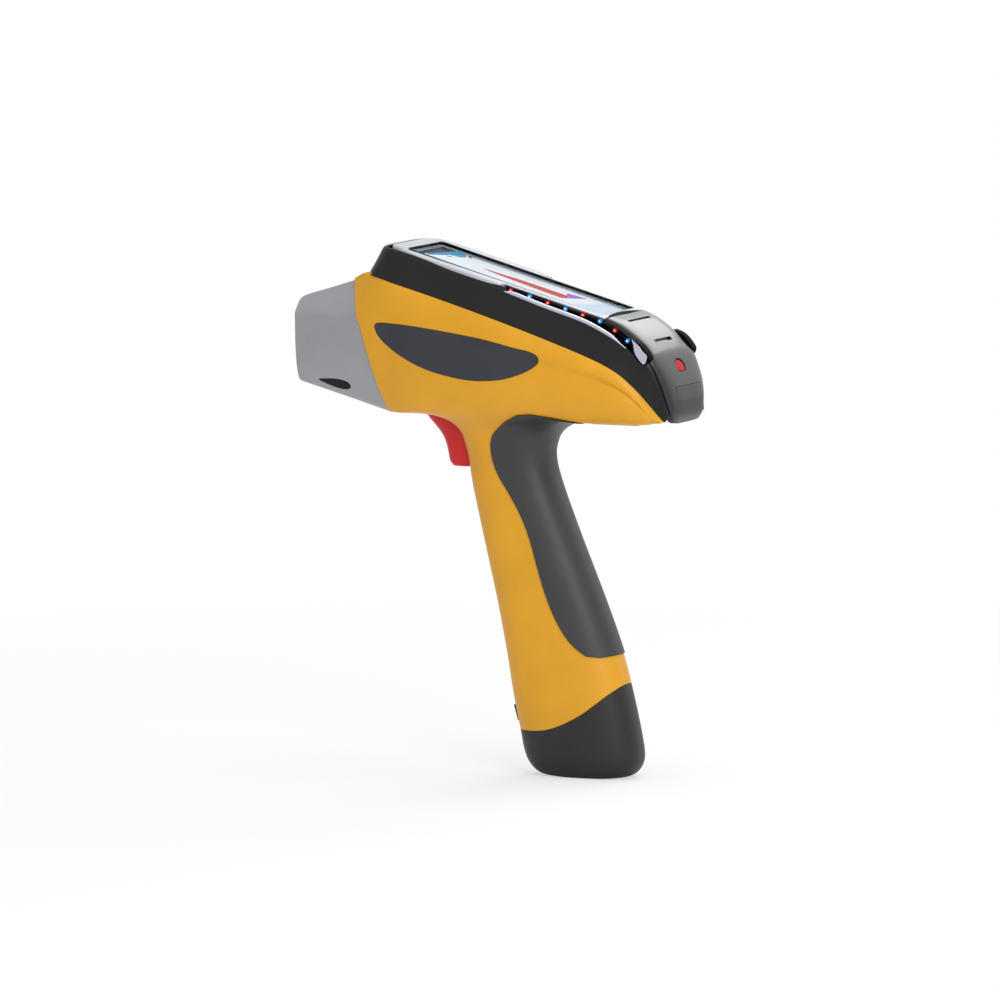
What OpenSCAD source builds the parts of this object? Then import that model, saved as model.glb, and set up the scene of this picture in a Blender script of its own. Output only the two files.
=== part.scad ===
// Handheld XRF analyzer: a pistol-shaped instrument with a tapered measuring nose,
// a clamshell body and grip, a sloped display deck and a battery that drops out of the grip.
// X runs from the nose to the rear, Y to the right-hand side, Z up from the flat foot.

/* [Body] */
// Width of the body at its side crease
body_w = 90; // [88:0.5:93]
// Height of the body's underside above the foot
keel_z = 219.5; // [216:0.5:224]
// Wall thickness of the two housing halves
wall = 2.6; // [2:0.1:3.2]
// Gap between neighbouring casings
seam_gap = 0.3; // [0.2:0.05:0.5]

/* [Nose] */
// Length of the nose in front of the body
nose_l = 64; // [60:0.5:70]
// Width of the nose at its front face
nose_w = 55; // [54:0.5:60]
// Thickness of the nose wall
nose_wall = 2.4; // [2:0.1:3]
// Thickness of the faceplate that carries the measuring window
plate_t = 3; // [2.5:0.1:4]
// Radius of the measuring window
window_r = 5; // [4:0.25:6]
// Thickness of the window film
film_t = 0.3; // [0.2:0.05:0.5]

/* [Casing rim] */
// Thickness of the rim wall around the display deck
rim_t = 3; // [2.6:0.1:3.4]
// Thickness of the tray that carries the display
tray_t = 2.4; // [2:0.1:3]
// Width of the bright strips along the light slots
strip_w = 1.6; // [1:0.1:2]

/* [Display deck] */
// Slope of the display deck, falling to the rear
deck_pitch = 16; // [15.5:0.1:16.5]
// Depth of the deck frame
frame_t = 4.5; // [4.25:0.25:5.5]
// Length of the display glass
glass_l = 128; // [110:1:130]
// Width of the display glass
glass_w = 54; // [50:0.5:56]
// Thickness of the display glass
glass_t = 1.5; // [1:0.1:2]
// Thickness of the display panel below the glass
panel_t = 3; // [2:0.1:3.5]
// Number of lights on each side
led_n = 8; // [4:1:8]
// Radius of a light
led_r = 1.6; // [1.2:0.1:1.8]

/* [Rear cover] */
// Thickness of the rear cover
cover_t = 2.4; // [2:0.1:3]
// Width of the slits in the rear cover
slit_w = 1.2; // [0.8:0.1:1.6]
// Radius of the power button
button_r = 4; // [3.5:0.1:4.5]
// Width of the port door
door_w = 40; // [36:0.5:42]
// Height of the port door
door_h = 22.5; // [20:0.25:23]
// Radius of the port door's pin
door_pin_r = 1.2; // [1:0.05:1.4]

/* [Grip] */
// Lean of the grip, its foot to the rear
grip_lean = 15.7; // [15.4:0.1:16]
// Thickness of the soft grip cover
grip_t = 1.4; // [1:0.1:1.8]
// Thickness of the side inlays
inlay_t = 1; // [0.8:0.1:1.4]

/* [Trigger] */
// Width of the trigger
trigger_w = 16; // [14:0.25:18]
// Radius of the trigger's pin
trigger_pin_r = 2; // [1.8:0.05:2.4]
// Radius of the wire of the trigger's spring
spring_wire_r = 0.4; // [0.3:0.05:0.5]

/* [Battery] */
// Length of the battery pack
pack_l = 126; // [120:0.5:128]
// Depth of the battery pack, front to rear
pack_d = 45; // [42:0.5:46]
// Width of the battery pack
pack_w = 31; // [29:0.5:32]
// Wall thickness of the battery cap
cap_wall = 2.5; // [2:0.1:3]

/* [Measuring head] */
// Angle of the tube's axis above the nose axis
tube_angle = 16; // [15:0.25:17]
// Angle of the detector's axis below the nose axis
detector_angle = 32; // [31:0.25:34]
// Radius of the tube's body
tube_r = 12; // [11:0.25:12.5]
// Length of the tube's body
tube_l = 45; // [40:1:48]
// Radius of the tube's snout
snout_r = 5.5; // [5:0.1:5.6]
// Radius of the detector can
detector_r = 7; // [6:0.1:7]
// Radius of the filter wheel
wheel_r = 15; // [14.6:0.1:15.2]
// Distance of the filters from the wheel's centre
filter_at = 11.5; // [11.5:0.1:11.7]
// Number of filters in the wheel
filter_n = 6; // [4:1:7]
// Radius of one filter
filter_r = 2.8; // [2:0.1:3]

/* [Electronics] */
// Thickness of the circuit boards
board_t = 1.6; // [1:0.1:2]
// Thickness of the chassis plate
chassis_t = 2; // [1.5:0.1:2.5]
// Radius of the housing screws
screw_r = 1.5; // [1.25:0.05:1.75]
// Radius of the housing screws' heads
head_r = 2.9; // [2.5:0.1:3.2]

/* [Hidden] */

$fn = 48;

// Fits
run_fit = 0.05;
slip = 0.2;
EPS = 0.01;

half_w = body_w / 2;

// ---------------------------------------------------------------- curves and lofts
function clamp_row(rows, i) = rows[max(0, min(len(rows) - 1, i))];
function blend4(a, b, c, d, t) =
  0.5 * (2 * b + (c - a) * t + (2 * a - 5 * b + 4 * c - d) * t * t + (3 * b - a - 3 * c + d) * t * t * t);
// A smooth curve through rows of numbers; t counts rows
function along(rows, t) =
  let (i = min(floor(t), len(rows) - 2))
  blend4(clamp_row(rows, i - 1), rows[i], rows[i + 1], clamp_row(rows, i + 2), t - i);
function smooth(rows, steps) =
  [for (i = [0:(len(rows) - 1) * steps]) along(rows, i / steps)];
function flip_y(points) = [for (p = points) [p.x, -p.y, p.z]];
function reversed(list) = [for (i = [len(list) - 1:-1:0]) list[i]];
// Both halves of a ring whose first and last points lie on the middle plane
function whole_ring(half) =
  concat(half, [for (i = [len(half) - 2:-1:1]) [half[i].x, -half[i].y, half[i].z]]);

// A solid skin over a list of rings, each with the same number of points
module loft(rings) {
  n = len(rings[0]);
  last = (len(rings) - 1) * n;
  polyhedron(
    points = [for (ring = rings) each ring],
    faces = [
      [for (i = [0:n - 1]) i],
      [for (i = [n:-1:1]) last + i % n],
      for (j = [0:len(rings) - 2], i = [0:n - 1])
        let (a = j * n + i, b = j * n + (i + 1) % n)
        each [[a, a + n, b + n], [a, b + n, b]]
    ]
  );
}

// A closed sheet between an outer and an inner grid of points
module sheet(outer, inner) {
  n = len(outer[0]);
  m = len(outer);
  skin = m * n;
  polyhedron(
    points = [for (row = concat(outer, inner)) each row],
    faces = [
      for (j = [0:m - 2], i = [0:n - 2])
        let (a = j * n + i, b = a + 1)
        each [[a, a + n, b + n], [a, b + n, b],
          [skin + a, skin + b + n, skin + a + n], [skin + a, skin + b, skin + b + n]],
      for (i = [0:n - 2])
        let (a = i, c = (m - 1) * n + i)
        each [[a, a + 1, skin + a + 1], [a, skin + a + 1, skin + a],
          [c, skin + c, skin + c + 1], [c, skin + c + 1, c + 1]],
      for (j = [0:m - 2])
        let (a = j * n, c = j * n + n - 1)
        each [[skin + a, skin + a + n, a + n], [skin + a, a + n, a],
          [c, c + n, skin + c + n], [c, skin + c + n, skin + c]]
    ]
  );
}

// A side-view outline made into a slab between two Y planes
module side_slab(outline, y0, y1) {
  translate([0, y1, 0])
    rotate([90, 0, 0])
      linear_extrude(y1 - y0)
        polygon(outline);
}

module rounded_plate(x0, x1, w, t, r) {
  linear_extrude(t)
    hull()
      for (x = [x0 + r, x1 - r], y = [-w / 2 + r, w / 2 - r])
        translate([x, y])
          circle(r, $fn = 32);
}

module box(x0, x1, y0, y1, z0, z1) {
  translate([x0, y0, z0])
    cube([x1 - x0, y1 - y0, z1 - z0]);
}

// A bar along Y
module bar_y(r, y0, y1) {
  translate([0, y0, 0])
    rotate([-90, 0, 0])
      cylinder(r = r, h = y1 - y0);
}

// ---------------------------------------------------------------- body form
// Each row is one cross-section from the nose seam to the tail:
// keel [x, height, half width], crease [x, height, inset], shoulder [x, height, inset]
BODY_ROWS = [
  [-123, 2, 24, -140, 60, 6, -143, 84, 10],
  [-108, 0.5, 26, -126, 59.5, 3, -132, 88.5, 6],
  [-92, 0, 27, -108, 58.5, 1, -118, 83.5, 3],
  [-64, 0, 28, -76, 55, 0, -84, 74, 2],
  [-32, 0, 28, -42, 48.5, 0, -48, 63, 2],
  [0, 0, 28, -8, 38.5, 0.5, -13, 51.5, 2],
  [24, 0, 28, 18, 31.5, 1.5, 17, 40.5, 3],
  [38, 0, 28, 34, 24.5, 3, 33, 32.5, 4],
  [44, 0.2, 27, 43.5, 16.5, 6, 43.5, 23, 7],
  [48, 0.5, 25, 49, 9.5, 9, 51, 13.5, 11],
  [50, 1, 23, 52, 4.5, 13, 56, 6, 15],
  [54.5, 1.3, 22, 56, 2.2, 15, 59, 2.7, 16.5]
];
BULGE_STEPS = 4;

// The half ring of a cross-section, taken in from the outside by inset
function half_ring(row, inset, lift) =
  let (
    keel = [row[0], row[2] - inset * 0.6, keel_z + row[1] + inset],
    crease = [row[3], half_w - row[5] - inset, keel_z + row[4]],
    shoulder = [row[6], half_w - row[8] - inset, keel_z + row[7] + lift],
    rise = crease - keel
  )
  [
    [keel.x, 0, keel.z],
    for (k = [0:BULGE_STEPS - 1])
      let (a = 90 * k / BULGE_STEPS)
      keel + [rise.x * (1 - cos(a)), rise.y * sin(a), rise.z * (1 - cos(a))],
    crease,
    crease + (shoulder - crease) * 0.5 + [0, 0.8, 0],
    shoulder,
    [shoulder.x, 0, shoulder.z]
  ];

module body_half(inset, lift = 0) {
  loft([for (row = smooth(BODY_ROWS, 2)) half_ring(row, inset, lift)]);
}

// The hollow of one half, open to the nose, the tail, the other half and, behind the front lip, the deck
LIP_ROW = 1.5;
DECK_OVERSHOOT = 8;

module body_hollow() {
  rows = smooth(BODY_ROWS, 2);
  rings = [for (i = [0:len(rows) - 1]) half_ring(rows[i], wall, i / 2 < LIP_ROW ? -wall : DECK_OVERSHOOT)];
  front = [for (p = rings[0]) p - [6, 0, 0]];
  tail = [for (p = rings[len(rings) - 1]) p + [8, 0, -1]];
  translate([0, -EPS, 0])
    loft(concat([front], rings, [tail]));
}

// ---------------------------------------------------------------- grip form
// Each row is one level: [z, front x, rear x, half width]
GRIP_ROWS = [
  [0, -24, 19, 14],
  [1.5, -32, 26, 18],
  [6, -38, 31, 21],
  [14, -42.3, 33.2, 22.3],
  [28, -45.3, 31, 22.5],
  [50, -50, 26, 22.3],
  [76, -54.5, 18.8, 21.8],
  [108, -61, 6.6, 21],
  [148, -70.3, -10.2, 20.5],
  [178, -77, -22, 20.5],
  [194, -79.5, -26.5, 21],
  [204, -82.5, -25.5, 22],
  [212, -88, -20, 24.5],
  [218, -97, -10, 29],
  [225, -114, 10, 34]
];
GRIP_STEPS = 10;
GRIP_POWER = 0.8;

function sign_pow(v, p) = sign(v) * pow(abs(v), p);
function grip_point(row, a, inset) =
  let (mid = (row[1] + row[2]) / 2, half = (row[2] - row[1]) / 2 - inset)
  [mid - half * sign_pow(cos(a), GRIP_POWER), (row[3] - inset) * sign_pow(sin(a), GRIP_POWER), row[0]];
// Half a level from the front to the rear, on the right-hand side
function grip_half(row, inset) =
  [for (k = [0:GRIP_STEPS]) grip_point(row, 180 * k / GRIP_STEPS, inset)];

module grip_loft(inset, whole, rows) {
  loft([
    for (row = rows)
      let (half = reversed(grip_half(row, inset)))
      whole ? whole_ring(half) : half
  ]);
}

// The grip's own frame: Z along the grip from the foot
module on_grip() {
  rotate([0, -grip_lean, 0])
    children();
}

// The line where the battery cap meets the housing
CAP_LINE = smooth([[-80, 29], [-56, 28.5], [-40, 28], [-20, 30], [0, 39], [18, 53], [32, 65], [48, 76]], 3);

// ---------------------------------------------------------------- deck frame
DECK_X = -119;
DECK_Z = keel_z + 105.5;
DECK_END = 146;
SLOT_START = 78;
rail_half = glass_w / 2 + 0.8;
slot_half = rail_half + 2.7;
deck_half = slot_half + 4.1;
// Half width of the deck rim at its top
rim_top = deck_half + 0.4 + rim_t;
SKIN_T = 1.2;
TRAY_Z = -15;

// The deck's own frame: X down the slope to the rear, Z out of the display
module on_deck() {
  translate([DECK_X, 0, DECK_Z])
    rotate([0, deck_pitch, 0])
      children();
}

// The rim's front edge and corner: foot [x, half width, height], top [x, half width, height]
RIM_FRONT = [
  [-131, 0, 89.3, -121, 0, 105],
  [-131, half_w - 16, 89.3, -121, rim_top - 11, 105],
  [-127, half_w - 5, 88, -117.5, rim_top - 2, 104]
];
// The rim's top beside each body row from the third on: [x, inset, height]
RIM_TOPS = [
  [-107, 0, 100.7],
  [-76, 0, 91.7],
  [-44, 0, 82.7],
  [-8, 0, 73],
  [21, 0, 65],
  [37, 0, 53],
  [50.5, 0.5, 40.8],
  [56.5, 2.5, 28.5],
  [60.5, 6.2, 14],
  [62, 8.5, 6]
];
RIM_ROWS = concat(RIM_FRONT, [
  for (i = [0:len(RIM_TOPS) - 1])
    let (row = BODY_ROWS[i + 2])
    concat([row[6], half_w - row[8], row[7] + seam_gap],
      [RIM_TOPS[i][0], rim_top - RIM_TOPS[i][1], RIM_TOPS[i][2]])
]);
RIM_BULGE = 0.9;
// Where the rim is cut down beside the light slots [x, height]
SLOT_LINE = smooth([[-42, 79.5], [-17, 71], [10, 62.5], [28, 54], [38, 47.5], [47, 41]], 2);

// The wall's ring at t rows from the middle of the front; its thickness turns with the corner
function rim_ring(t) =
  let (
    row = along(RIM_ROWS, t),
    turn = 45 * min(2, t),
    inward = [rim_t * cos(turn), -rim_t * sin(turn), 0],
    foot = [row[0], max(0, row[1]), keel_z + row[2]],
    top = [row[3], max(0, row[4]), keel_z + row[5]]
  )
  [foot, (foot + top) / 2 + [0, RIM_BULGE * sin(turn), 0], top, top + inward, foot + inward];

RIM_STEPS = 2;
RIM_LAST = (len(RIM_ROWS) - 1) * RIM_STEPS;

module rim() {
  side = [for (i = [0:RIM_LAST]) rim_ring(i / RIM_STEPS)];
  rings = concat([for (i = [RIM_LAST:-1:1]) flip_y(side[i])], side);
  difference() {
    loft(rings);
    side_slab(concat([for (p = SLOT_LINE) [p[0], keel_z + p[1]]],
      [[47, keel_z + 90], [-42, keel_z + 90]]), -60, 60);
  }
}

// ---------------------------------------------------------------- housing halves
// Screws [x, z, y of the head's seat]
SCREWS = [[-112, keel_z + 14, half_w * 0.69], [-62, keel_z - 38, 15.5], [10, keel_z + 12, half_w * 0.78]];
SCREW_TIP = -12;
HEAD_T = 2.2;
boss_r = screw_r + 2.6;

PIVOT = [-99, keel_z + 4];
trigger_gap = 0.6;
SWITCH = [-57, keel_z - 14];
SWITCH_HALF = [6, 5, 7];
PACK_Z = 9;
CONTACT_AT = PACK_Z + pack_l + 4;
CONTACT_HALF = [12, 10, 3];
RIB_R = 2.5;
PORT_PIN = [59.1, keel_z + 5.6];
LUG_W = 3;
// Room that the port door needs between the two tail ends
TAIL_NOTCH = [50.5, half_w - 20.5];

LEDGES = [42, 126];
LEDGE_L = 10;
CHASSIS_Z = -42;
CHASSIS_HALF = 31;

module grip_outer_half(inset) {
  grip_loft(inset, false, smooth([for (i = [3:len(GRIP_ROWS) - 1]) GRIP_ROWS[i]], 2));
}

// The slot in which the trigger swings
module trigger_slot() {
  side_slab([[-111.5, keel_z - 8], [-111.5, keel_z + 8], [-62, keel_z + 8], [-62, keel_z - 33.5],
    [-100, keel_z - 33.5]], -trigger_w / 2 - trigger_gap, trigger_w / 2 + trigger_gap);
}

LATCH_Z = 49;
LATCH_HALF = [6, 5];

module latch_hole() {
  on_grip()
    box(-45, -25, -LATCH_HALF[0] - slip, LATCH_HALF[0] + slip,
      LATCH_Z - LATCH_HALF[1] - slip, LATCH_Z + LATCH_HALF[1] + slip);
}

module rib_at(x, z, y0, y1) {
  translate([x, 0, z])
    bar_y(RIB_R, y0, y1);
}

module housing_shell() {
  difference() {
    union() {
      body_half(0);
      difference() {
        grip_outer_half(0);
        side_slab(concat(CAP_LINE, [[60, -10], [-80, -10]]), -1, 60);
      }
    }
    body_hollow();
    translate([0, -EPS, 0])
      grip_outer_half(wall);
    trigger_slot();
    latch_hole();
  }
}

// One half on the right-hand side, with the bosses and ledges that both halves have
module housing_half() {
  difference() {
    union() {
      housing_shell();
      for (s = SCREWS)
        translate([s.x, 0, s.y])
          bar_y(boss_r, slip / 2, s.z);
      translate([PIVOT.x, 0, PIVOT.y])
        bar_y(trigger_pin_r + 2.2, trigger_w / 2 + trigger_gap, 24);
      rib_at(SWITCH.x, SWITCH.y, SWITCH_HALF.y + run_fit, 20.5);
      on_grip()
        rib_at(0, CONTACT_AT, CONTACT_HALF.y + run_fit, 19);
      on_deck()
        for (x = LEDGES)
          box(x, x + LEDGE_L, CHASSIS_HALF - 3, half_w - 2, CHASSIS_Z - 3, CHASSIS_Z);
    }
    for (s = SCREWS)
      translate([s.x, 0, s.y])
        bar_y(screw_r + run_fit, -1, s.z + 1);
    translate([PIVOT.x, 0, PIVOT.y])
      bar_y(trigger_pin_r + run_fit, 5, 14);
    box(TAIL_NOTCH.x, TAIL_NOTCH.x + 20, -1, TAIL_NOTCH.y, keel_z - 1, keel_z + 20);
  }
}

module housing_right() {
  color("goldenrod")
    difference() {
      housing_half();
      for (s = SCREWS)
        translate([s.x, 0, s.y])
          bar_y(head_r + slip, s.z, s.z + 12);
    }
}

module housing_left() {
  color("goldenrod")
    mirror([0, 1, 0])
      housing_half();
}

module housing_screws() {
  color("dimgray")
    for (s = SCREWS)
      translate([s.x, 0, s.y]) {
        bar_y(screw_r, SCREW_TIP, s.z);
        difference() {
          bar_y(head_r, s.z, s.z + HEAD_T);
          translate([0, s.z + HEAD_T - 1.2, 0])
            rotate([-90, 0, 0])
              cylinder(r = 1.3, h = 2, $fn = 6);
        }
      }
}

// ---------------------------------------------------------------- soft skins
INLAY_LINE = smooth([[-127.2, 55.5], [-125.5, 51], [-120, 45.5], [-110, 38.7], [-96, 32], [-80, 27.5],
  [-62, 25], [-44, 26], [-31, 29.6], [-23, 33.2], [-18.5, 36.6], [-17.3, 39.2]], 2);
INLAY_TOP = smooth([[-17.6, 40.9], [-19.8, 42.6], [-24.5, 44.2], [-34, 46], [-56, 50.7], [-82, 54.5],
  [-104, 57], [-121, 58], [-126, 57.4]], 2);

module side_inlay() {
  intersection() {
    difference() {
      body_half(-seam_gap - inlay_t);
      body_half(-seam_gap);
    }
    side_slab([for (p = concat(INLAY_LINE, INLAY_TOP)) [p[0], keel_z + p[1]]], 20, 60);
  }
}

module side_inlay_right() {
  color("#3f4046")
    side_inlay();
}

module side_inlay_left() {
  color("#3f4046")
    mirror([0, 1, 0])
      side_inlay();
}

// Where the soft cover ends on the side of the grip [level, x]
COVER_EDGE = [[76, 4], [84, -6], [98, -15.5], [118, -24], [147, -33], [161, -39], [174, -46.5],
  [184, -53], [194, -57], [204, -58], [211, -55], [218, -46]];
COVER_STEPS = 8;

function cover_arc(row, inset) =
  let (
    mid = (row[1] + row[2]) / 2,
    half = (row[2] - row[1]) / 2,
    start = acos(max(-1, min(1, sign_pow((mid - lookup(row[0], COVER_EDGE)) / half, 1 / GRIP_POWER))))
  )
  [for (k = [0:COVER_STEPS]) grip_point(row, start + (180 - start) * k / COVER_STEPS, inset)];

// Both sides of a level, from the left-hand edge round the back to the right-hand edge
function both_sides(arc) =
  concat(flip_y(arc), [for (i = [COVER_STEPS - 1:-1:0]) arc[i]]);

module grip_cover() {
  rows = [for (row = smooth(GRIP_ROWS, 2)) if (row[0] >= COVER_EDGE[0][0] && row[0] <= 218) row];
  color("#3b3b3b")
    sheet(
      [for (row = rows) both_sides(cover_arc(row, -seam_gap - grip_t))],
      [for (row = rows) both_sides(cover_arc(row, -seam_gap - 4 * run_fit))]
    );
}

// ---------------------------------------------------------------- nose
SEAM_X = BODY_ROWS[0][0];
NOSE_X = SEAM_X - seam_gap - nose_l;
AXIS_Z = keel_z + 46;
nose_inset = half_w - nose_w / 2;
NOSE_ROWS = [
  [NOSE_X, 20, 18, NOSE_X + 0.4, 60, nose_inset + 1.5, NOSE_X + 0.6, 65.5, nose_inset + 5.5],
  [NOSE_X + 1.5, 18.6, 19, NOSE_X + 1.9, 60, nose_inset, NOSE_X + 3, 69.3, nose_inset + 4],
  [NOSE_X + 5, 17.5, 19.3, NOSE_X + 5.4, 60, nose_inset - 0.7, NOSE_X + 8, 72.2, nose_inset + 3.4],
  [SEAM_X - seam_gap, 1.7, 23, BODY_ROWS[0][3] - seam_gap, 60, 7, BODY_ROWS[0][6] - seam_gap, 83, 11.5]
];
OPENING_HALF = [19, 16];
FLANGE_T = 1.5;
FLANGE_LAP = 1.8;
PLATE_BACK = NOSE_X + plate_t + FLANGE_T;

module nose_loft(rows, inset) {
  loft([for (row = rows) whole_ring(half_ring(row, inset, -inset))]);
}

// Anything drawn on the nose's front plane: X across, Y up, Z into the nose
module on_nose_face() {
  translate([NOSE_X, 0, AXIS_Z])
    rotate([90, 0, 90])
      children();
}

module face_plate(grow, z0, z1, r) {
  x = OPENING_HALF.x + grow;
  y = OPENING_HALF.y + grow;
  translate([0, 0, z0])
    linear_extrude(z1 - z0) {
      square([2 * (x - r), 2 * y], center = true);
      square([2 * x, 2 * (y - r)], center = true);
      for (sx = [-1, 1], sy = [-1, 1])
        translate([sx * (x - r), sy * (y - r)])
          circle(r);
    }
}

PLUG_AT = [-160, keel_z + 18.6];
PLUG_SIDE = [22, 24.9];
PLUG_LINE = [for (a = [0:15:345]) let (s = sin(a)) [11 * cos(a), (3.2 - 1.3 * cos(a)) * s]];

module plug_outline(grow) {
  translate([PLUG_AT.x, 0, PLUG_AT.y])
    rotate([0, 8, 0])
      for (side = [0, 1])
        mirror([0, side, 0])
          side_slab([for (p = PLUG_LINE) p * (1 + grow / 3)],
            PLUG_SIDE[0] - 10 * grow, PLUG_SIDE[1] + 10 * grow);
}

// A row moved to the rear
function set_back(row, dx) = row + [dx, 0, 0, dx, 0, 0, dx, 0, 0];

module nose_cap() {
  back = plate_t - 1.5;
  last = NOSE_ROWS[3] + (NOSE_ROWS[3] - NOSE_ROWS[2]) * 0.1;
  color("#9a9c9f")
    difference() {
      nose_loft(NOSE_ROWS, 0);
      nose_loft([set_back(NOSE_ROWS[1], back), set_back(NOSE_ROWS[2], back), last], nose_wall);
      on_nose_face() {
        face_plate(0, -1, plate_t + 1, 5);
        face_plate(FLANGE_LAP + slip, plate_t, plate_t + FLANGE_T + 2, 6);
      }
      plug_outline(slip);
    }
}

module nose_plugs() {
  color("#2b2b2d")
    plug_outline(0);
}

RING_R = 9;
RING_T = 1.2;
FILM_R = 7.5;

module nose_faceplate() {
  color("#3c3d40")
    difference() {
      on_nose_face() {
        face_plate(-slip, 0, plate_t, 4.8);
        face_plate(FLANGE_LAP, plate_t, plate_t + FLANGE_T, 6);
      }
      on_nose_face() {
        translate([0, 0, -1])
          cylinder(r = window_r, h = plate_t + FLANGE_T + 2);
        translate([0, 0, -1])
          cylinder(r = RING_R + run_fit, h = 1 + RING_T);
        cylinder(r = FILM_R + run_fit, h = RING_T + film_t);
      }
    }
}

module window_ring() {
  color("silver")
    on_nose_face()
      difference() {
        cylinder(r = RING_R, h = RING_T);
        translate([0, 0, -1])
          cylinder(r = window_r, h = RING_T + 2);
      }
}

module window_film() {
  color("#c98d2c")
    on_nose_face()
      translate([0, 0, RING_T])
        cylinder(r = FILM_R, h = film_t);
}

// ---------------------------------------------------------------- measuring head
BLOCK_END = -140;
BLOCK_HALF = 19;
BLOCK_Z = [-17, 19];
CHAMBER_L = 9;
SNOUT_AT = 21;
SNOUT_L = 22;
WHEEL_AT = 17.2;
WHEEL_T = 1.6;
WHEEL_GAP = 0.5;
MOTOR_R = 5;
MOTOR_AT = WHEEL_AT + WHEEL_T + 1.2;
MOTOR_L = 14;
SHAFT_R = 1;
DETECTOR_AT = 26;
CAN_L = 10;

// The frame of a part that looks at the window: Z away from it, tilted up by the angle
module on_beam(angle) {
  translate([NOSE_X, 0, AXIS_Z])
    rotate([0, 90 - angle, 0])
      children();
}

module lifted_cylinder(r, z0, z1) {
  translate([0, 0, z0])
    cylinder(r = r, h = z1 - z0);
}

module measuring_block() {
  color("#b5b8bb")
    difference() {
      box(PLATE_BACK, BLOCK_END, -BLOCK_HALF, BLOCK_HALF, AXIS_Z + BLOCK_Z[0], AXIS_Z + BLOCK_Z[1]);
      on_nose_face()
        lifted_cylinder(window_r + 1.5, 0, CHAMBER_L);
      on_beam(tube_angle) {
        lifted_cylinder(4, 4, WHEEL_AT);
        lifted_cylinder(snout_r + run_fit, WHEEL_AT, SNOUT_AT + SNOUT_L + 1);
        lifted_cylinder(tube_r + run_fit, SNOUT_AT + SNOUT_L, 70);
        translate([0, filter_at, 0]) {
          lifted_cylinder(wheel_r + WHEEL_GAP, WHEEL_AT - WHEEL_GAP, WHEEL_AT + WHEEL_T + WHEEL_GAP);
          lifted_cylinder(MOTOR_R + run_fit, WHEEL_AT, 70);
        }
      }
      on_beam(-detector_angle) {
        lifted_cylinder(detector_r + run_fit, 8, 60);
        translate([-9, -12.5, DETECTOR_AT + CAN_L - 1])
          cube([18, 25, 40]);
      }
    }
}

module xray_tube() {
  color("#c9c4b4")
    on_beam(tube_angle) {
      lifted_cylinder(snout_r, SNOUT_AT, SNOUT_AT + SNOUT_L);
      lifted_cylinder(tube_r, SNOUT_AT + SNOUT_L, SNOUT_AT + SNOUT_L + tube_l);
    }
}

module collimator() {
  color("#b08d57")
    on_beam(tube_angle)
      difference() {
        lifted_cylinder(4 - run_fit, 11, WHEEL_AT - WHEEL_GAP - slip);
        lifted_cylinder(2, 0, 30);
      }
}

module detector() {
  color("#d8d8d8")
    on_beam(-detector_angle) {
      lifted_cylinder(detector_r, DETECTOR_AT, DETECTOR_AT + CAN_L);
      lifted_cylinder(detector_r - 1.5, DETECTOR_AT + CAN_L, DETECTOR_AT + CAN_L + 2);
    }
}

module preamp_board() {
  color("seagreen")
    on_beam(-detector_angle)
      translate([-7.5, -11, DETECTOR_AT + CAN_L + 2])
        cube([15, 22, board_t]);
}

module filter_wheel() {
  color("#8d9196")
    on_beam(tube_angle)
      translate([0, filter_at, WHEEL_AT])
        difference() {
          cylinder(r = wheel_r, h = WHEEL_T);
          for (k = [0:filter_n - 1])
            rotate([0, 0, -90 + 360 * k / filter_n])
              translate([filter_at, 0, -1])
                cylinder(r = filter_r, h = WHEEL_T + 2);
          translate([0, 0, -1])
            cylinder(r = SHAFT_R + run_fit, h = WHEEL_T + 2);
        }
}

module filter_motor() {
  color("#6f7276")
    on_beam(tube_angle)
      translate([0, filter_at, 0]) {
        lifted_cylinder(SHAFT_R, WHEEL_AT, MOTOR_AT);
        lifted_cylinder(MOTOR_R, MOTOR_AT, MOTOR_AT + MOTOR_L);
      }
}

// ---------------------------------------------------------------- upper casing and display
CABLE_W = 12;
CABLE_T = 0.5;
GLASS_X = 8;
CABLE_X = GLASS_X + glass_l - 16;
GLASS_DROP = 1.2;
glass_bottom = -GLASS_DROP - glass_t;
panel_bottom = glass_bottom - panel_t;
BOARD_Z = -24;
SPEAKER = [3.8, 5, 7];

tray_half = (half_w + rim_top) / 2 - 2;

// The floor of a light slot behind the tray: [x, height, distance in from the rim's top]
GUTTER_ROWS = [[14, 50.2, 0.5], [25, 45.2, 0.7], [36, 38, 1], [45, 31, 2], [51, 25.5, 3.2]];

module gutter() {
  loft([
    for (row = GUTTER_ROWS)
      let (z = keel_z + row[1], y = rail_half - 2, out = rim_top - row[2])
      [[row[0], y, z - tray_t], [row[0], out, z - tray_t], [row[0], out, z], [row[0], y, z]]
  ]);
}

module upper_casing() {
  color("#2e2e2e")
    difference() {
      union() {
        rim();
        for (side = [0, 1])
          mirror([0, side, 0])
            gutter();
        on_deck()
          translate([0, 0, TRAY_Z - tray_t])
            linear_extrude(tray_t) {
              translate([8, -tray_half])
                square([DECK_END - 8, 2 * tray_half]);
              translate([-5, 10.5 - tray_half])
                square([20, 2 * tray_half - 21]);
              for (side = [-1, 1])
                translate([8, side * (tray_half - 12)])
                  circle(12);
            }
      }
      on_deck()
        box(CABLE_X - 4, CABLE_X + 4, -CABLE_W / 2 - 2, CABLE_W / 2 + 2, TRAY_Z - 10, TRAY_Z + 5);
    }
}

// The bright end piece of a strip beside the rear cover [x, height]
CLIP_LINE = [[40.8, 46.5], [44.2, 40.8], [46.8, 39.4], [47.2, 44.2], [41.4, 50.4]];
CLIP_Y = [slot_half + 2.4, rim_top - rim_t - 0.6];
CLIP_FROM = 42;

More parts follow.
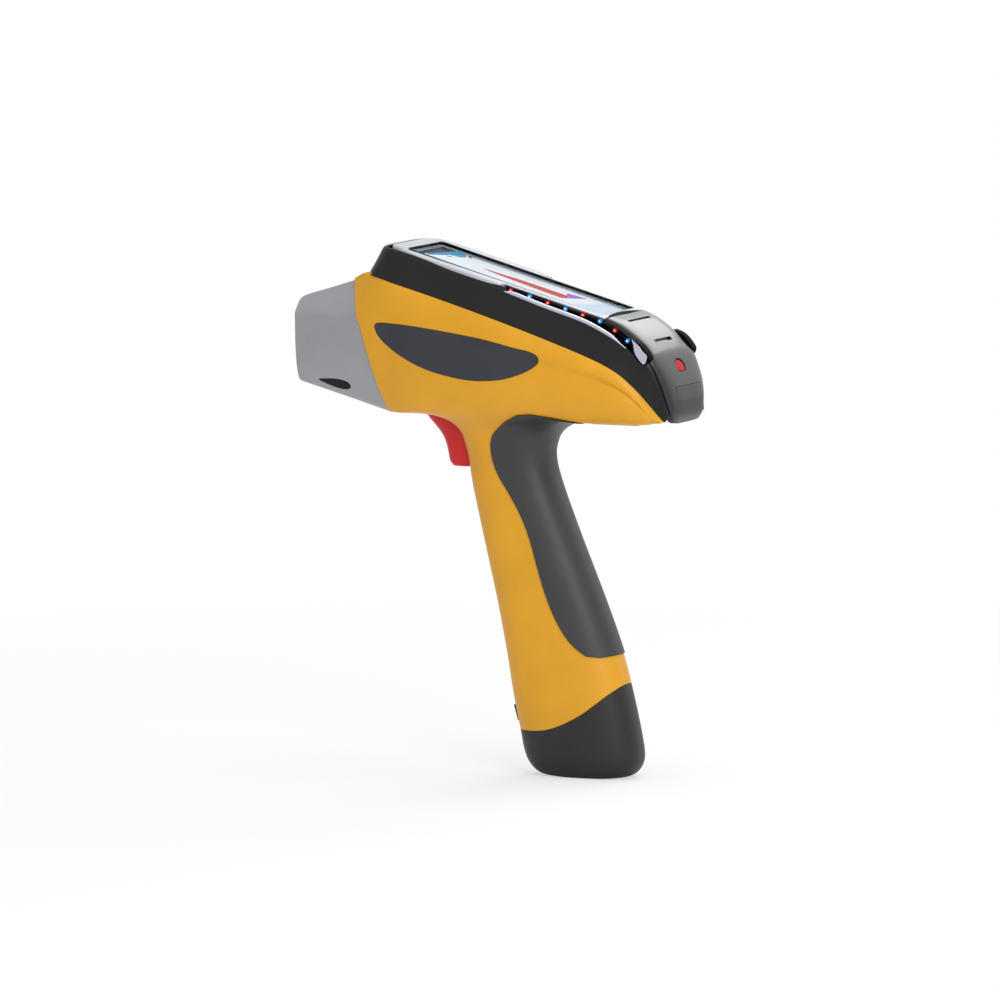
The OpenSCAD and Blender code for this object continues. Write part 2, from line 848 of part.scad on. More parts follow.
module strip_side() {
  rows = [for (p = SLOT_LINE) [p[0], keel_z + p[1] + run_fit]];
  y = rim_top + 1;
  side_slab([for (p = CLIP_LINE) [p[0], keel_z + p[1]]], CLIP_Y[0], CLIP_Y[1]);
  loft([
    for (p = rows)
      if (p.x > CLIP_FROM)
        [[p.x, CLIP_Y[0], p.y], [p.x, y - 1, p.y], [p.x, y - 1, p.y + 0.9], [p.x, CLIP_Y[0], p.y + 0.9]]
  ]);
  loft([
    for (p = rows)
      let (out = p.x > 38 ? y - (p.x - 38) * 0.06 : y)
      [[p.x, out - strip_w, p.y], [p.x, out, p.y], [p.x, out, p.y + 0.9], [p.x, out - strip_w, p.y + 0.9]]
  ]);
}

module trim_strips() {
  color("#bbbbd0")
    for (side = [0, 1])
      mirror([0, side, 0])
        strip_side();
}

module display_frame() {
  color("#c9ccd0")
    on_deck()
      difference() {
        union() {
          translate([0, 0, -SKIN_T])
            linear_extrude(SKIN_T) {
              translate([6, -deck_half])
                square([SLOT_START - 6, 2 * deck_half]);
              translate([1.5, 4.5 - deck_half])
                square([10, 2 * deck_half - 9]);
              for (side = [-1, 1])
                translate([6, side * (deck_half - 4.5)])
                  circle(4.5);
              translate([SLOT_START - 1, -slot_half])
                square([DECK_END - SLOT_START + 1, 2 * slot_half]);
            }
          box(4, DECK_END, -rail_half, rail_half, -frame_t, -SKIN_T);
          for (side = [-1, 1])
            translate([0, side * (rail_half - 1.25), 0])
              box(4, DECK_END, -1.25, 1.25, TRAY_Z, -frame_t);
        }
        box(GLASS_X, GLASS_X + glass_l, -glass_w / 2, glass_w / 2, glass_bottom, 1);
        box(GLASS_X + 2, GLASS_X + glass_l - 2, -glass_w / 2 + 2, glass_w / 2 - 2, -20, 1);
        box(SPEAKER[0], SPEAKER[1], -SPEAKER[2], SPEAKER[2], -0.8, 1);
      }
}

module display_glass() {
  color("#dfe6ea")
    on_deck()
      box(GLASS_X + slip, GLASS_X + glass_l - slip, slip - glass_w / 2, glass_w / 2 - slip,
        glass_bottom, -GLASS_DROP);
}

module display_panel() {
  color("#4a90c8")
    on_deck()
      box(GLASS_X + 3, GLASS_X + glass_l - 3, 3 - glass_w / 2, glass_w / 2 - 3,
        panel_bottom, glass_bottom);
}

module display_cable() {
  color("darkorange")
    on_deck()
      box(CABLE_X, CABLE_X + CABLE_T, -CABLE_W / 2, CABLE_W / 2, BOARD_Z + board_t, panel_bottom);
}

// The light bars follow the deck's edge and then the rear cover's [x, height]
BAR_ROWS = [[-44, 83.2], [-23, 77.5], [-2, 71.4], [18.5, 65.2], [35, 54.8], [45, 43.5]];
BAR_T = 2.5;
BAR_H = 9;
BAR_DROP = 1.6;
BAR_LAST = 4.4;
LIGHT_FIRST = 0.2;
LIGHT_LAST = 4.05;
LIGHT_DEPTH = 2;

module light_bar() {
  rows = [for (i = [0:9]) along(BAR_ROWS, BAR_LAST * i / 9)];
  y = slot_half - BAR_T;
  difference() {
    loft([
      for (p = rows)
        let (top = keel_z + p[1] - BAR_DROP, low = top - BAR_H)
        [[p[0], y, low], [p[0], slot_half, low], [p[0], slot_half, top], [p[0], y, top]]
    ]);
    for (k = [0:led_n - 1])
      light_at(k, led_r + run_fit, 0);
  }
}

module light_at(k, r, proud) {
  p = along(BAR_ROWS, LIGHT_FIRST + (LIGHT_LAST - LIGHT_FIRST) * k / (led_n - 1));
  translate([p[0], 0, keel_z + p[1] - BAR_DROP - led_r - 0.6])
    bar_y(r, slot_half - LIGHT_DEPTH, slot_half + (proud > 0 ? proud : 1));
}

module lights(first) {
  for (side = [0, 1])
    mirror([0, side, 0])
      for (k = [first:2:led_n - 1])
        light_at(k, led_r, 0.5);
}

module light_bar_right() {
  color("#151517")
    light_bar();
}

module light_bar_left() {
  color("#151517")
    mirror([0, 1, 0])
      light_bar();
}

module red_lights() {
  color("#ff5040")
    lights(0);
}

module blue_lights() {
  color("#5a8cff")
    lights(1);
}

// ---------------------------------------------------------------- rear cover
// Edge [x, half width beyond the slots' inner side, height] and middle [x, height] from the deck to the tail
COVER_ROWS = [
  [22, 0, 64.4, 23.5, 65.4],
  [31, 0, 60.2, 32.5, 61.6],
  [40.2, 0.1, 53.4, 42.2, 54.6],
  [47.8, 0.4, 45.4, 50, 46.8],
  [51.8, 3.6, 39.6, 54.6, 41],
  [55.6, 2.2, 31.6, 59, 33],
  [58.8, 0, 22.5, 62.6, 24.5],
  [60.8, -2.3, 13.5, 64.4, 14.5],
  [61.8, -4.5, 6.5, 64.2, 5.5],
  [61.2, -5.2, 3.2, 62.4, 0.8]
];
COVER_POWER = 3.5;
ACROSS = 12;

function cover_row(row) =
  [for (i = [0:ACROSS])
    let (
      u = -1 + 2 * i / ACROSS,
      crown = 1 - pow(abs(u), COVER_POWER),
      flat = sin(90 * u)
    )
    [row[0] + (row[3] - row[0]) * crown, flat * (slot_half + row[1]),
      keel_z + row[2] + (row[4] - row[2]) * crown]];

// How far the inner skin lies below the outer one at each row: mostly down at the deck, forward at the tail
function cover_inner(row, t) =
  let (a = min(1, t / 5) * 75)
  [for (p = cover_row(row)) p - cover_t * [sin(a + 15), 0, cos(a + 15)]];

module cover_sheet() {
  rows = smooth(COVER_ROWS, 2);
  sheet(
    [for (row = rows) reversed(cover_row(row))],
    [for (i = [0:len(rows) - 1]) reversed(cover_inner(rows[i], i / 2))]
  );
}

BUTTON_ROW = along(COVER_ROWS, 4.75);
BUTTON_TILT = 30;
FLANGE_R = 1.2;
CUP_L = 9;

module on_button() {
  translate([BUTTON_ROW[3], 0, keel_z + BUTTON_ROW[4]])
    rotate([0, 90 - BUTTON_TILT, 0])
      children();
}

PORT_BOARD_X = 47;
PORT_BOARD_HALF = 24;
PORT_POST = [61.5, 22.4, keel_z + 19];
DOOR_Z = [keel_z - 5, keel_z + 1 + door_h];

module door_prism(grow) {
  box(45, 80, -door_w / 2 - grow, door_w / 2 + grow, DOOR_Z[0], DOOR_Z[1] + grow);
}

module rear_cover() {
  color("#4b4d50")
    difference() {
      union() {
        cover_sheet();
        on_button()
          lifted_cylinder(button_r + FLANGE_R + 1.4, -CUP_L - 1.2, -1.2);
        for (side = [-1, 1])
          translate([PORT_BOARD_X + board_t, side * PORT_POST.y, PORT_POST.z])
            rotate([0, 90, 0])
              cylinder(r = 1.6, h = PORT_POST.x - PORT_BOARD_X - board_t);
        for (side = [-1, 1])
          translate([0, side * (door_w / 2 + slip + LUG_W / 2), 0])
            box(PORT_PIN.x - 2.2, PORT_PIN.x + 3.2, slip - LUG_W / 2, LUG_W / 2,
              PORT_PIN.y - 2.2, PORT_PIN.y + 3);
      }
      door_prism(0);
      on_button() {
        lifted_cylinder(button_r + slip, -CUP_L, 5);
        lifted_cylinder(button_r + FLANGE_R + slip, -CUP_L, -2.6);
        lifted_cylinder(button_r + 1.4, -0.7, 5);
      }
      translate([PORT_PIN.x, 0, PORT_PIN.y])
        bar_y(door_pin_r + run_fit, -40, 40);
      slit([31, keel_z + 62.4], 29, 17.5);
      slit([45.2, keel_z + 51.8], 44, 14);
    }
}

// A slit across the cover, cut square to it
module slit(at, tilt, half) {
  translate([at.x, 0, at.y])
    rotate([0, tilt, 0])
      box(-slit_w / 2, slit_w / 2, -half, half, -1.4, 4);
}

module power_button() {
  color("#d02a22")
    on_button() {
      lifted_cylinder(button_r, -5, -0.5);
      lifted_cylinder(button_r + FLANGE_R, -4.2, -2.8);
    }
}

module coil(r, wire, z0, z1, turns) {
  steps = 14;
  sides = 6;
  pitch = (z1 - z0 - 2 * wire) / turns;
  loft([
    for (p = [for (i = [0:turns * steps]) i])
      let (a = 360 * p / steps)
      [for (k = [0:sides - 1])
        let (b = -360 * k / sides)
        [(r + wire * cos(b)) * cos(a), (r + wire * cos(b)) * sin(a),
          z0 + wire + pitch * p / steps - wire * sin(b)]]
  ]);
}

module button_spring() {
  color("silver")
    on_button()
      coil(button_r - 0.6, spring_wire_r, -CUP_L, -5, 3);
}

module port_door() {
  arm = 4;
  color("#2c2d2f")
    difference() {
      union() {
        intersection() {
          cover_sheet();
          door_prism(-seam_gap);
        }
        for (side = [-1, 1])
          translate([0, side * (door_w / 2 - 4), 0]) {
            translate([PORT_PIN.x, 0, PORT_PIN.y])
              bar_y(door_pin_r + 1.1, -arm / 2, arm / 2);
            box(PORT_PIN.x, PORT_PIN.x + 3, -arm / 2, arm / 2, PORT_PIN.y - 1.5, PORT_PIN.y + 1.5);
          }
      }
      translate([PORT_PIN.x, 0, PORT_PIN.y])
        bar_y(door_pin_r + run_fit, -40, 40);
    }
}

module port_door_pin() {
  color("silver")
    translate([PORT_PIN.x, 0, PORT_PIN.y])
      bar_y(door_pin_r, -door_w / 2 - LUG_W, door_w / 2 + LUG_W);
}

module port_board() {
  color("seagreen")
    box(PORT_BOARD_X, PORT_BOARD_X + board_t, -PORT_BOARD_HALF, PORT_BOARD_HALF, keel_z + 11, keel_z + 24);
}

module port_connectors() {
  color("#d9d9dc")
    for (y = [-11, 1])
      box(PORT_BOARD_X + board_t, PORT_BOARD_X + board_t + 8, y - 4, y + 6, keel_z + 13, keel_z + 17.5);
}

module underside_vent() {
  color("#3a1f24")
    difference() {
      box(6, 36, -15, 15, keel_z - 1.6, keel_z - run_fit);
      for (x = [10:4:32])
        box(x - 0.7, x + 0.7, -11, 11, keel_z - 3, keel_z - 0.8);
    }
}

// ---------------------------------------------------------------- trigger
// Each row is one level of the trigger: front [x, height], rear [x, height]
TRIGGER_ROWS = [
  [-91, -31.4, -79, -31.6],
  [-93.6, -28.8, -77, -29],
  [-94.8, -24, -76.5, -22],
  [-96.4, -18, -76.5, -15],
  [-99.2, -12.5, -78, -8],
  [-103.6, -7.3, -82, -2],
  [-107.8, -2.8, -88, 4],
  [-110.2, 1, -96, 8.4],
  [-110, 4, -102, 9]
];
// The trigger's section: share of the way to the rear, share of the half width
TRIGGER_SECTION = [[0, 0], [0.03, 0.35], [0.12, 0.7], [0.28, 0.92], [0.5, 1], [1, 1], [1, 0]];

function trigger_ring(row) =
  [for (p = reversed(TRIGGER_SECTION))
    [row[0] + (row[2] - row[0]) * p[0], p[1] * trigger_w / 2, keel_z + row[1] + (row[3] - row[1]) * p[0]]];

module trigger() {
  color("#c42527")
    difference() {
      loft([for (row = TRIGGER_ROWS) whole_ring(trigger_ring(row))]);
      translate([PIVOT.x, 0, PIVOT.y])
        bar_y(trigger_pin_r + run_fit, -20, 20);
    }
}

module trigger_pin() {
  color("silver")
    translate([PIVOT.x, 0, PIVOT.y])
      bar_y(trigger_pin_r, -14, 14);
}

SPRING_X = [-76.4, -63.1];

module trigger_spring() {
  color("silver")
    translate([0, 0, SWITCH.y])
      rotate([0, 90, 0])
        coil(2.6, spring_wire_r, SPRING_X[0], SPRING_X[1], 5);
}

module trigger_switch() {
  color("#26272a")
    box(SWITCH.x - SWITCH_HALF.x, SWITCH.x + SWITCH_HALF.x, -SWITCH_HALF.y, SWITCH_HALF.y,
      SWITCH.y - SWITCH_HALF.z, SWITCH.y + SWITCH_HALF.z);
}

// ---------------------------------------------------------------- battery
PACK_MID = 1.5;
PACK_CORNER = 10;

module battery_pack() {
  color("#2f3136")
    on_grip()
      translate([0, 0, PACK_Z])
        rounded_plate(PACK_MID - pack_d / 2, PACK_MID + pack_d / 2, pack_w, pack_l, PACK_CORNER);
}

module battery_cap() {
  rows = smooth([for (i = [0:8]) GRIP_ROWS[i]], 2);
  color("#39393b")
    difference() {
      grip_loft(0, true, rows);
      intersection() {
        grip_loft(cap_wall, true, rows);
        on_grip()
          box(-60, 60, -40, 40, PACK_Z, 160);
      }
      side_slab(concat([for (p = CAP_LINE) p - [0, seam_gap]], [[60, 200], [-80, 200]]), -60, 60);
    }
}

module battery_contacts() {
  color("#b9952f")
    on_grip()
      box(-CONTACT_HALF.x, CONTACT_HALF.x, -CONTACT_HALF.y, CONTACT_HALF.y,
        CONTACT_AT - CONTACT_HALF.z, CONTACT_AT + CONTACT_HALF.z);
}

module battery_latch() {
  color("#1f1f21")
    on_grip() {
      box(-36.1, -29, -LATCH_HALF[0], LATCH_HALF[0], LATCH_Z - LATCH_HALF[1], LATCH_Z + LATCH_HALF[1]);
      box(-30.2, -29, -LATCH_HALF[0] - 1.5, LATCH_HALF[0] + 1.5,
        LATCH_Z - LATCH_HALF[1] - 1.5, LATCH_Z + LATCH_HALF[1] + 1.5);
    }
}

// ---------------------------------------------------------------- electronics
CHASSIS_X = [38, 140];
MAIN_X = [40, 138];
MAIN_HALF = 28;
POST_R = 2.2;
SUPPLY_X = [54, 104];
SUPPLY_H = 20;
SIGNAL_X = [48, 92];
SIGNAL_HALF = 22;
SIGNAL_Z = -36;

chassis_top = CHASSIS_Z + chassis_t;

module posts(xs, half, z0, z1) {
  for (x = xs, side = [-1, 1])
    translate([x, side * half, 0])
      lifted_cylinder(POST_R, z0, z1);
}

module chassis() {
  color("#a9adb2")
    on_deck() {
      box(CHASSIS_X[0], CHASSIS_X[1], -CHASSIS_HALF, CHASSIS_HALF, CHASSIS_Z, chassis_top);
      posts([MAIN_X[0] + 3, MAIN_X[1] - 3], MAIN_HALF - 3, CHASSIS_Z + 0.5, BOARD_Z);
      posts([SIGNAL_X[0] + 3, SIGNAL_X[1] - 3], SIGNAL_HALF - 3, CHASSIS_Z + 0.5, SIGNAL_Z);
    }
}

module high_voltage_supply() {
  color("#7d8288")
    on_deck()
      box(SUPPLY_X[0], SUPPLY_X[1], -24, 24, CHASSIS_Z - SUPPLY_H, CHASSIS_Z);
}

module signal_board() {
  color("seagreen")
    on_deck() {
      box(SIGNAL_X[0], SIGNAL_X[1], -SIGNAL_HALF, SIGNAL_HALF, SIGNAL_Z, SIGNAL_Z + board_t);
      box(SIGNAL_X[0] + 10, SIGNAL_X[0] + 24, -7, 7, SIGNAL_Z, SIGNAL_Z + board_t + 2);
    }
}

module main_board() {
  color("darkgreen")
    on_deck() {
      box(MAIN_X[0], MAIN_X[1], -MAIN_HALF, MAIN_HALF, BOARD_Z, BOARD_Z + board_t);
      box(MAIN_X[0] + 12, MAIN_X[0] + 32, -10, 10, BOARD_Z, BOARD_Z + board_t + 2.4);
      box(MAIN_X[0] + 44, MAIN_X[0] + 56, 8, 20, BOARD_Z, BOARD_Z + board_t + 1.8);
    }
}

housing_left();
housing_right();
housing_screws();
side_inlay_left();
side_inlay_right();
grip_cover();
nose_cap();
nose_plugs();
nose_faceplate();
window_ring();
window_film();
upper_casing();
trim_strips();
display_frame();
display_glass();
display_panel();
light_bar_left();
light_bar_right();
red_lights();
blue_lights();
rear_cover();
power_button();
button_spring();
port_door();
port_door_pin();
port_board();
port_connectors();
underside_vent();
trigger();
trigger_pin();
trigger_spring();
trigger_switch();
battery_pack();
battery_cap();
battery_contacts();
battery_latch();
measuring_block();
xray_tube();
collimator();
detector();
preamp_board();
filter_wheel();
filter_motor();
chassis();
high_voltage_supply();
signal_board();
main_board();
display_cable();
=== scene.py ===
# %% [markdown]
# # A handheld XRF analyzer
#
# The instrument is a pistol-shaped shell: an amber clamshell body that runs down into the grip, a grey
# measuring nose, a black casing round a sloped display, and a battery that drops out of the grip.
# The mechanical frame is already there with its bodies and joints. This lesson gives it its visible
# surfaces, one piece at a time, and lets each piece ride on the body it belongs to.

# %% Load the mechanical frame
import math

import bmesh
import bpy
import numpy as np
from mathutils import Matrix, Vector


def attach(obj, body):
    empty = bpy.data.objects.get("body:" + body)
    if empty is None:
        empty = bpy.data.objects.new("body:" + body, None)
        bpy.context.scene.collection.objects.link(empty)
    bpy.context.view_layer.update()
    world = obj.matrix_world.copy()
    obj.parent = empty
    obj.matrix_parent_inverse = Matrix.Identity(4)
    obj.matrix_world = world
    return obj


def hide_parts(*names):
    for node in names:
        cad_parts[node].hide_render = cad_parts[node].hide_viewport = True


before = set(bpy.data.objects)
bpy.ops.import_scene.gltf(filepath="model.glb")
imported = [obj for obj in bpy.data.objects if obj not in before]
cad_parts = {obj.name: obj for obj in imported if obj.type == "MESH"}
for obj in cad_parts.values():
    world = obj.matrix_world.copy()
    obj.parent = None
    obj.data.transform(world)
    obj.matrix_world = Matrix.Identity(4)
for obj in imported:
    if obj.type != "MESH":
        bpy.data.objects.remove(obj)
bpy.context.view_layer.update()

MM = 0.001

# %% [markdown]
# ## The camera
#
# The viewer stands at the left-hand side, a little behind the middle, and slightly above. A long lens
# from far away keeps the edges nearly parallel, as product pictures do. The aim point is given across
# and up in the picture plane, so the object sits where it should in the frame.

# %% Place the camera
AZIMUTH = math.radians(23)
ELEVATION = math.radians(6)
LENS = 400
SENSOR = 36
FRAME_WIDTH = 0.6124
AIM_ACROSS = -0.0563
AIM_UP = 0.1688


def placed(name, data):
    made = bpy.data.objects.new(name, data)
    bpy.context.scene.collection.objects.link(made)
    return made


def aimed(made, place, direction):
    made.location = place
    made.rotation_mode = "QUATERNION"
    made.rotation_quaternion = direction.to_track_quat("-Z", "Y")


across = Vector((math.cos(AZIMUTH), math.sin(AZIMUTH), 0))
towards = Vector((math.sin(AZIMUTH) * math.cos(ELEVATION), -math.cos(AZIMUTH) * math.cos(ELEVATION),
                  math.sin(ELEVATION)))
upward = towards.cross(across)
camera_data = bpy.data.cameras.new("camera")
camera_data.lens = LENS
camera_data.sensor_width = SENSOR
camera = placed("camera", camera_data)
distance = FRAME_WIDTH * LENS / SENSOR
aimed(camera, across * AIM_ACROSS + upward * AIM_UP + towards * distance, -towards)
camera_data.clip_end = 50
bpy.context.scene.camera = camera
print("camera stands", round(distance, 2), "m away")

# %% [markdown]
# ## Curves and solids
#
# Moulded shells are drawn by a few cross-sections with smooth curves run through them. The helpers here
# do that: `along` is a Catmull-Rom curve through rows of numbers, `loft` skins a list of rings, and
# `slab` makes a flat outline into a thick tool for cutting. All of them take millimetres.

# %% Curve helpers
def along(rows, t):
    rows = np.asarray(rows, float)
    i = int(min(max(math.floor(t), 0), len(rows) - 2))
    a, b, c, d = (rows[max(0, min(len(rows) - 1, i + k))] for k in (-1, 0, 1, 2))
    s = t - i
    square = 2 * a - 5 * b + 4 * c - d
    cube = 3 * b - a - 3 * c + d
    return 0.5 * (2 * b + (c - a) * s + square * s ** 2 + cube * s ** 3)


def smooth(rows, steps):
    return [along(rows, i / steps) for i in range((len(rows) - 1) * steps + 1)]


def signed_power(value, power):
    return np.sign(value) * np.abs(value) ** power


def ease(value):
    value = np.clip(value, 0, 1)
    return value * value * (3 - 2 * value)


def circle(sides):
    return np.linspace(0, 2 * math.pi, sides, endpoint=False)


print("halfway along 0, 1, 4:", along([[0], [1], [4]], 1.5)[0])

# %% Solid helpers
def solid(name, points, faces):
    mesh = bpy.data.meshes.new(name)
    mesh.from_pydata((np.asarray(points, float) * MM).tolist(), [], faces)
    work = bmesh.new()
    work.from_mesh(mesh)
    bmesh.ops.remove_doubles(work, verts=work.verts, dist=2e-6)
    bmesh.ops.dissolve_degenerate(work, edges=work.edges, dist=1e-6)
    bmesh.ops.recalc_face_normals(work, faces=work.faces)
    work.to_mesh(mesh)
    work.free()
    return placed(name, mesh)


def loft(name, rings):
    n, m = len(rings[0]), len(rings)
    faces = [[j * n + i, j * n + n + i, j * n + n + (i + 1) % n, j * n + (i + 1) % n]
             for j in range(m - 1) for i in range(n)]
    faces += [list(range(n))[::-1], [(m - 1) * n + i for i in range(n)]]
    return solid(name, np.concatenate(rings), faces)


def slab(name, outline, low, high):
    outline = [(p[0], p[1]) for p in outline]
    n = len(outline)
    points = [(x, y, z) for y in (low, high) for x, z in outline]
    faces = [list(range(n)), [n + i for i in range(n)][::-1]]
    faces += [[i, (i + 1) % n, n + (i + 1) % n, n + i] for i in range(n)]
    return solid(name, points, faces)


def tube(name, radius, start, end, sides=48):
    start, end = Vector(start), Vector(end)
    turn = (end - start).to_track_quat("Z", "X").to_matrix()
    rings = [[centre + turn @ Vector((radius * math.cos(a), radius * math.sin(a), 0))
              for a in circle(sides)] for centre in (start, end)]
    return loft(name, rings)


def oblong(x0, x1, z0, z1):
    return [(x0, z0), (x1, z0), (x1, z1), (x0, z1)]


def rounded(x0, x1, half, radius, steps=8):
    """A rectangle with round corners, centred across."""
    points = []
    for cx, cy, start in ((x1 - radius, half - radius, 0), (x0 + radius, half - radius, 90),
                          (x0 + radius, radius - half, 180), (x1 - radius, radius - half, 270)):
        for angle in np.radians(np.linspace(start, start + 90, steps + 1)):
            points.append((cx + radius * math.cos(angle), cy + radius * math.sin(angle)))
    return points


print("millimetres become", MM, "m")

# %% Helpers that change a solid
def applied(made):
    """Makes the modifiers' result the piece's own mesh."""
    graph = bpy.context.evaluated_depsgraph_get()
    mesh = bpy.data.meshes.new_from_object(made.evaluated_get(graph))
    made.modifiers.clear()
    made.data = mesh
    return made


def combine(target, operation, tools):
    for tool in tools:
        step = target.modifiers.new("combine", "BOOLEAN")
        step.operation = operation
        step.solver = "MANIFOLD"
        step.object = tool
        applied(target)
        bpy.data.objects.remove(tool)
    return target


def joined(target, *tools):
    return combine(target, "UNION", tools)


def cut(target, *tools):
    return combine(target, "DIFFERENCE", tools)


def common(target, *tools):
    return combine(target, "INTERSECT", tools)


def copied(made, name):
    return placed(name, made.data.copy())


def corners(made):
    points = np.zeros(len(made.data.vertices) * 3)
    made.data.vertices.foreach_get("co", points)
    return points.reshape(-1, 3) / MM


def moved(made, points):
    made.data.vertices.foreach_set("co", (np.asarray(points) * MM).ravel())
    made.data.update()
    return made


def swollen(made, name, amount):
    """A copy with every corner moved out along its normal."""
    twin = copied(made, name)
    normals = np.zeros(len(twin.data.vertices) * 3)
    twin.data.vertices.foreach_get("normal", normals)
    return moved(twin, corners(twin) + amount * normals.reshape(-1, 3))


print("helpers ready")

# %% [markdown]
# ## Finishes
#
# Moulded plastic is never one flat colour. It has a spark-eroded grain a few tenths of a millimetre
# across, faint clouds of tone, and corners that are rounded by the mould. One recipe builds them all:
# a fine noise for the grain, a broad noise for the tone and gloss, and a bevel of the shading normal
# that gives each cut edge the small radius of the real moulding.

# %% Colours and shader nodes
def linear(colour):
    """The light values of a colour that is written as #RRGGBB."""
    values = [int(colour[i:i + 2], 16) / 255 for i in (1, 3, 5)]
    return [v / 12.92 if v <= 0.04045 else ((v + 0.055) / 1.055) ** 2.4 for v in values] + [1]


def tuned(node, **inputs):
    """A shader node with new values at its inputs (To_Min stands for To Min)."""
    for name, value in inputs.items():
        node.inputs[name.replace("_", " ")].default_value = value
    return node


def part(tree, kind, **inputs):
    return tuned(tree.nodes.new("ShaderNode" + kind), **inputs)


def wire(source, output, target, socket):
    source.id_data.links.new(source.outputs[output], target.inputs[socket])


print("grey #808080 gives", round(linear("#808080")[0], 3), "of the light")

# %% The finish recipe
CLOUD_SCALE = 38
CLOUD_FROM, CLOUD_TO = 0.3, 0.7
COAT_ROUGHNESS = 0.12
GRAIN_HEIGHT = 0.2 * MM


def finish(name, colour, roughness, grain=0.35, depth=0.12, tone=0.06, gloss=0.06, edge=0.4, metallic=0.0,
           coat=0.0, stretch=(1, 1, 1), shine=0.5):
    material = bpy.data.materials.new(name)
    material.use_nodes = True
    tree = material.node_tree
    shader = tuned(tree.nodes["Principled BSDF"], Metallic=metallic, Specular_IOR_Level=shine,
                   Coat_Weight=coat, Coat_Roughness=COAT_ROUGHNESS)
    base = linear(colour)
    place = part(tree, "TexCoord")
    turn = part(tree, "Mapping", Scale=stretch)
    wire(place, "Object", turn, "Vector")
    cloud = part(tree, "TexNoise", Scale=CLOUD_SCALE, Detail=5)
    wire(place, "Object", cloud, "Vector")
    colours = part(tree, "ValToRGB")
    dark, pale = colours.color_ramp.elements
    dark.position, pale.position = CLOUD_FROM, CLOUD_TO
    dark.color = [c * (1 - tone) for c in base[:3]] + [1]
    pale.color = [min(1, c * (1 + tone)) for c in base[:3]] + [1]
    wire(cloud, "Fac", colours, "Fac")
    wire(colours, "Color", shader, "Base Color")
    speck = part(tree, "TexNoise", Scale=1 / (grain * MM), Detail=3)
    wire(turn, "Vector", speck, "Vector")
    polish = part(tree, "MapRange", To_Min=max(0.02, roughness - gloss), To_Max=min(1, roughness + gloss))
    wire(cloud, "Fac", polish, "Value")
    wire(polish, "Result", shader, "Roughness")
    rounding = part(tree, "Bevel", Radius=edge * MM)
    rounding.samples = 4
    bump = part(tree, "Bump", Strength=depth, Distance=GRAIN_HEIGHT)
    wire(speck, "Fac", bump, "Height")
    wire(rounding, "Normal", bump, "Normal")
    wire(bump, "Normal", shader, "Normal")
    return material


print("clouds of tone are about", round(1 / CLOUD_SCALE / MM), "mm across")

# %% The object's finishes
AMBER = finish("amber_shell", "#D99B16", 0.42, tone=0.05, shine=0.4)
INLAY = finish("inlay_grey", "#33353C", 0.55, tone=0.08, shine=0.3)
GRIP = finish("grip_rubber", "#343435", 0.45, grain=0.5, depth=0.2, tone=0.08, shine=0.4)
NOSE = finish("nose_paint", "#9A9CA1", 0.36, grain=0.25, depth=0.06, tone=0.04, metallic=0.35)
CASING = finish("casing_black", "#161617", 0.4, grain=0.4, depth=0.12, tone=0.12, shine=0.25)
CAP = finish("cap_black", "#262627", 0.45, grain=0.4, depth=0.15, tone=0.1, shine=0.3)
COVER = finish("cover_gloss", "#27292B", 0.34, grain=0.3, depth=0.03, tone=0.08, coat=0.3,
               metallic=0.3, shine=0.4)
# The door is the cover's own plastic; its darker colour is painted shade for the cover's lower part.
DOOR_PAINTED_SHADE = finish("door_gloss_painted_shade", "#1B1C1E", 0.34, grain=0.3, depth=0.03, tone=0.08, coat=0.2,
              metallic=0.2, shine=0.35)
TRIGGER = finish("trigger_red", "#C41A1E", 0.35, tone=0.05, shine=0.4)
FRAME = finish("frame_silver", "#AFB2B9", 0.34, grain=0.25, depth=0.04, metallic=0.45)
STRIP = finish("strip_bright", "#C6C6D8", 0.22, metallic=0.75, depth=0.03)
BAR = finish("bar_black", "#050506", 0.2, depth=0.03, shine=0.25)
SHADE = finish("shade_black", "#060607", 0.7, depth=0.03, shine=0.05)
STEEL = finish("plain_steel", "#B9BBBE", 0.32, metallic=1.0, stretch=(1, 12, 1), depth=0.05)
ALUMINIUM = finish("machined_aluminium", "#B4B7BA", 0.38, metallic=1.0, stretch=(14, 1, 1), depth=0.08)
BLACKED = finish("black_anodised", "#2F3033", 0.42, metallic=0.6, depth=0.06)
BRASS = finish("plated_brass", "#C9A24A", 0.3, metallic=1.0, depth=0.05)
CERAMIC = finish("glazed_ceramic", "#DAD5C4", 0.28, depth=0.03)
BOARD = finish("solder_mask", "#1F6B3C", 0.35, tone=0.15, depth=0.08)
WRAP = finish("battery_wrap", "#33363C", 0.4, grain=1.5, depth=0.12)
VENT = finish("vent_maroon", "#3A1B20", 0.6)
FILM = finish("film_amber", "#B87A22", 0.18, depth=0.02)
RED_BUTTON = finish("button_red", "#B80E0C", 0.45, depth=0.04, coat=0.08, shine=0.1)
print(len(bpy.data.materials), "finishes")

# %% Lit finishes and glass
DEEP_FROM, DEEP_TO = -105 * MM, -75 * MM


def glowing(name, colour, strength, deep=None):
    """The recipe with light of its own, and a deeper colour towards the front where one is given."""
    material = finish(name, colour, 0.6, tone=0.03, depth=0.02, shine=0.0)
    tree = material.node_tree
    shader = tuned(tree.nodes["Principled BSDF"], Emission_Color=linear(colour), Emission_Strength=strength)
    if deep:
        place, parts = part(tree, "TexCoord"), part(tree, "SeparateXYZ")
        span = part(tree, "MapRange", From_Min=DEEP_FROM, From_Max=DEEP_TO)
        mix = part(tree, "Mix")
        mix.data_type = "RGBA"
        mix.inputs["A"].default_value = linear(deep)
        mix.inputs["B"].default_value = linear(colour)
        wire(place, "Object", parts, "Vector")
        wire(parts, "X", span, "Value")
        wire(span, "Result", mix, "Factor")
        wire(mix, "Result", shader, "Emission Color")
        wire(mix, "Result", shader, "Base Color")
    return material


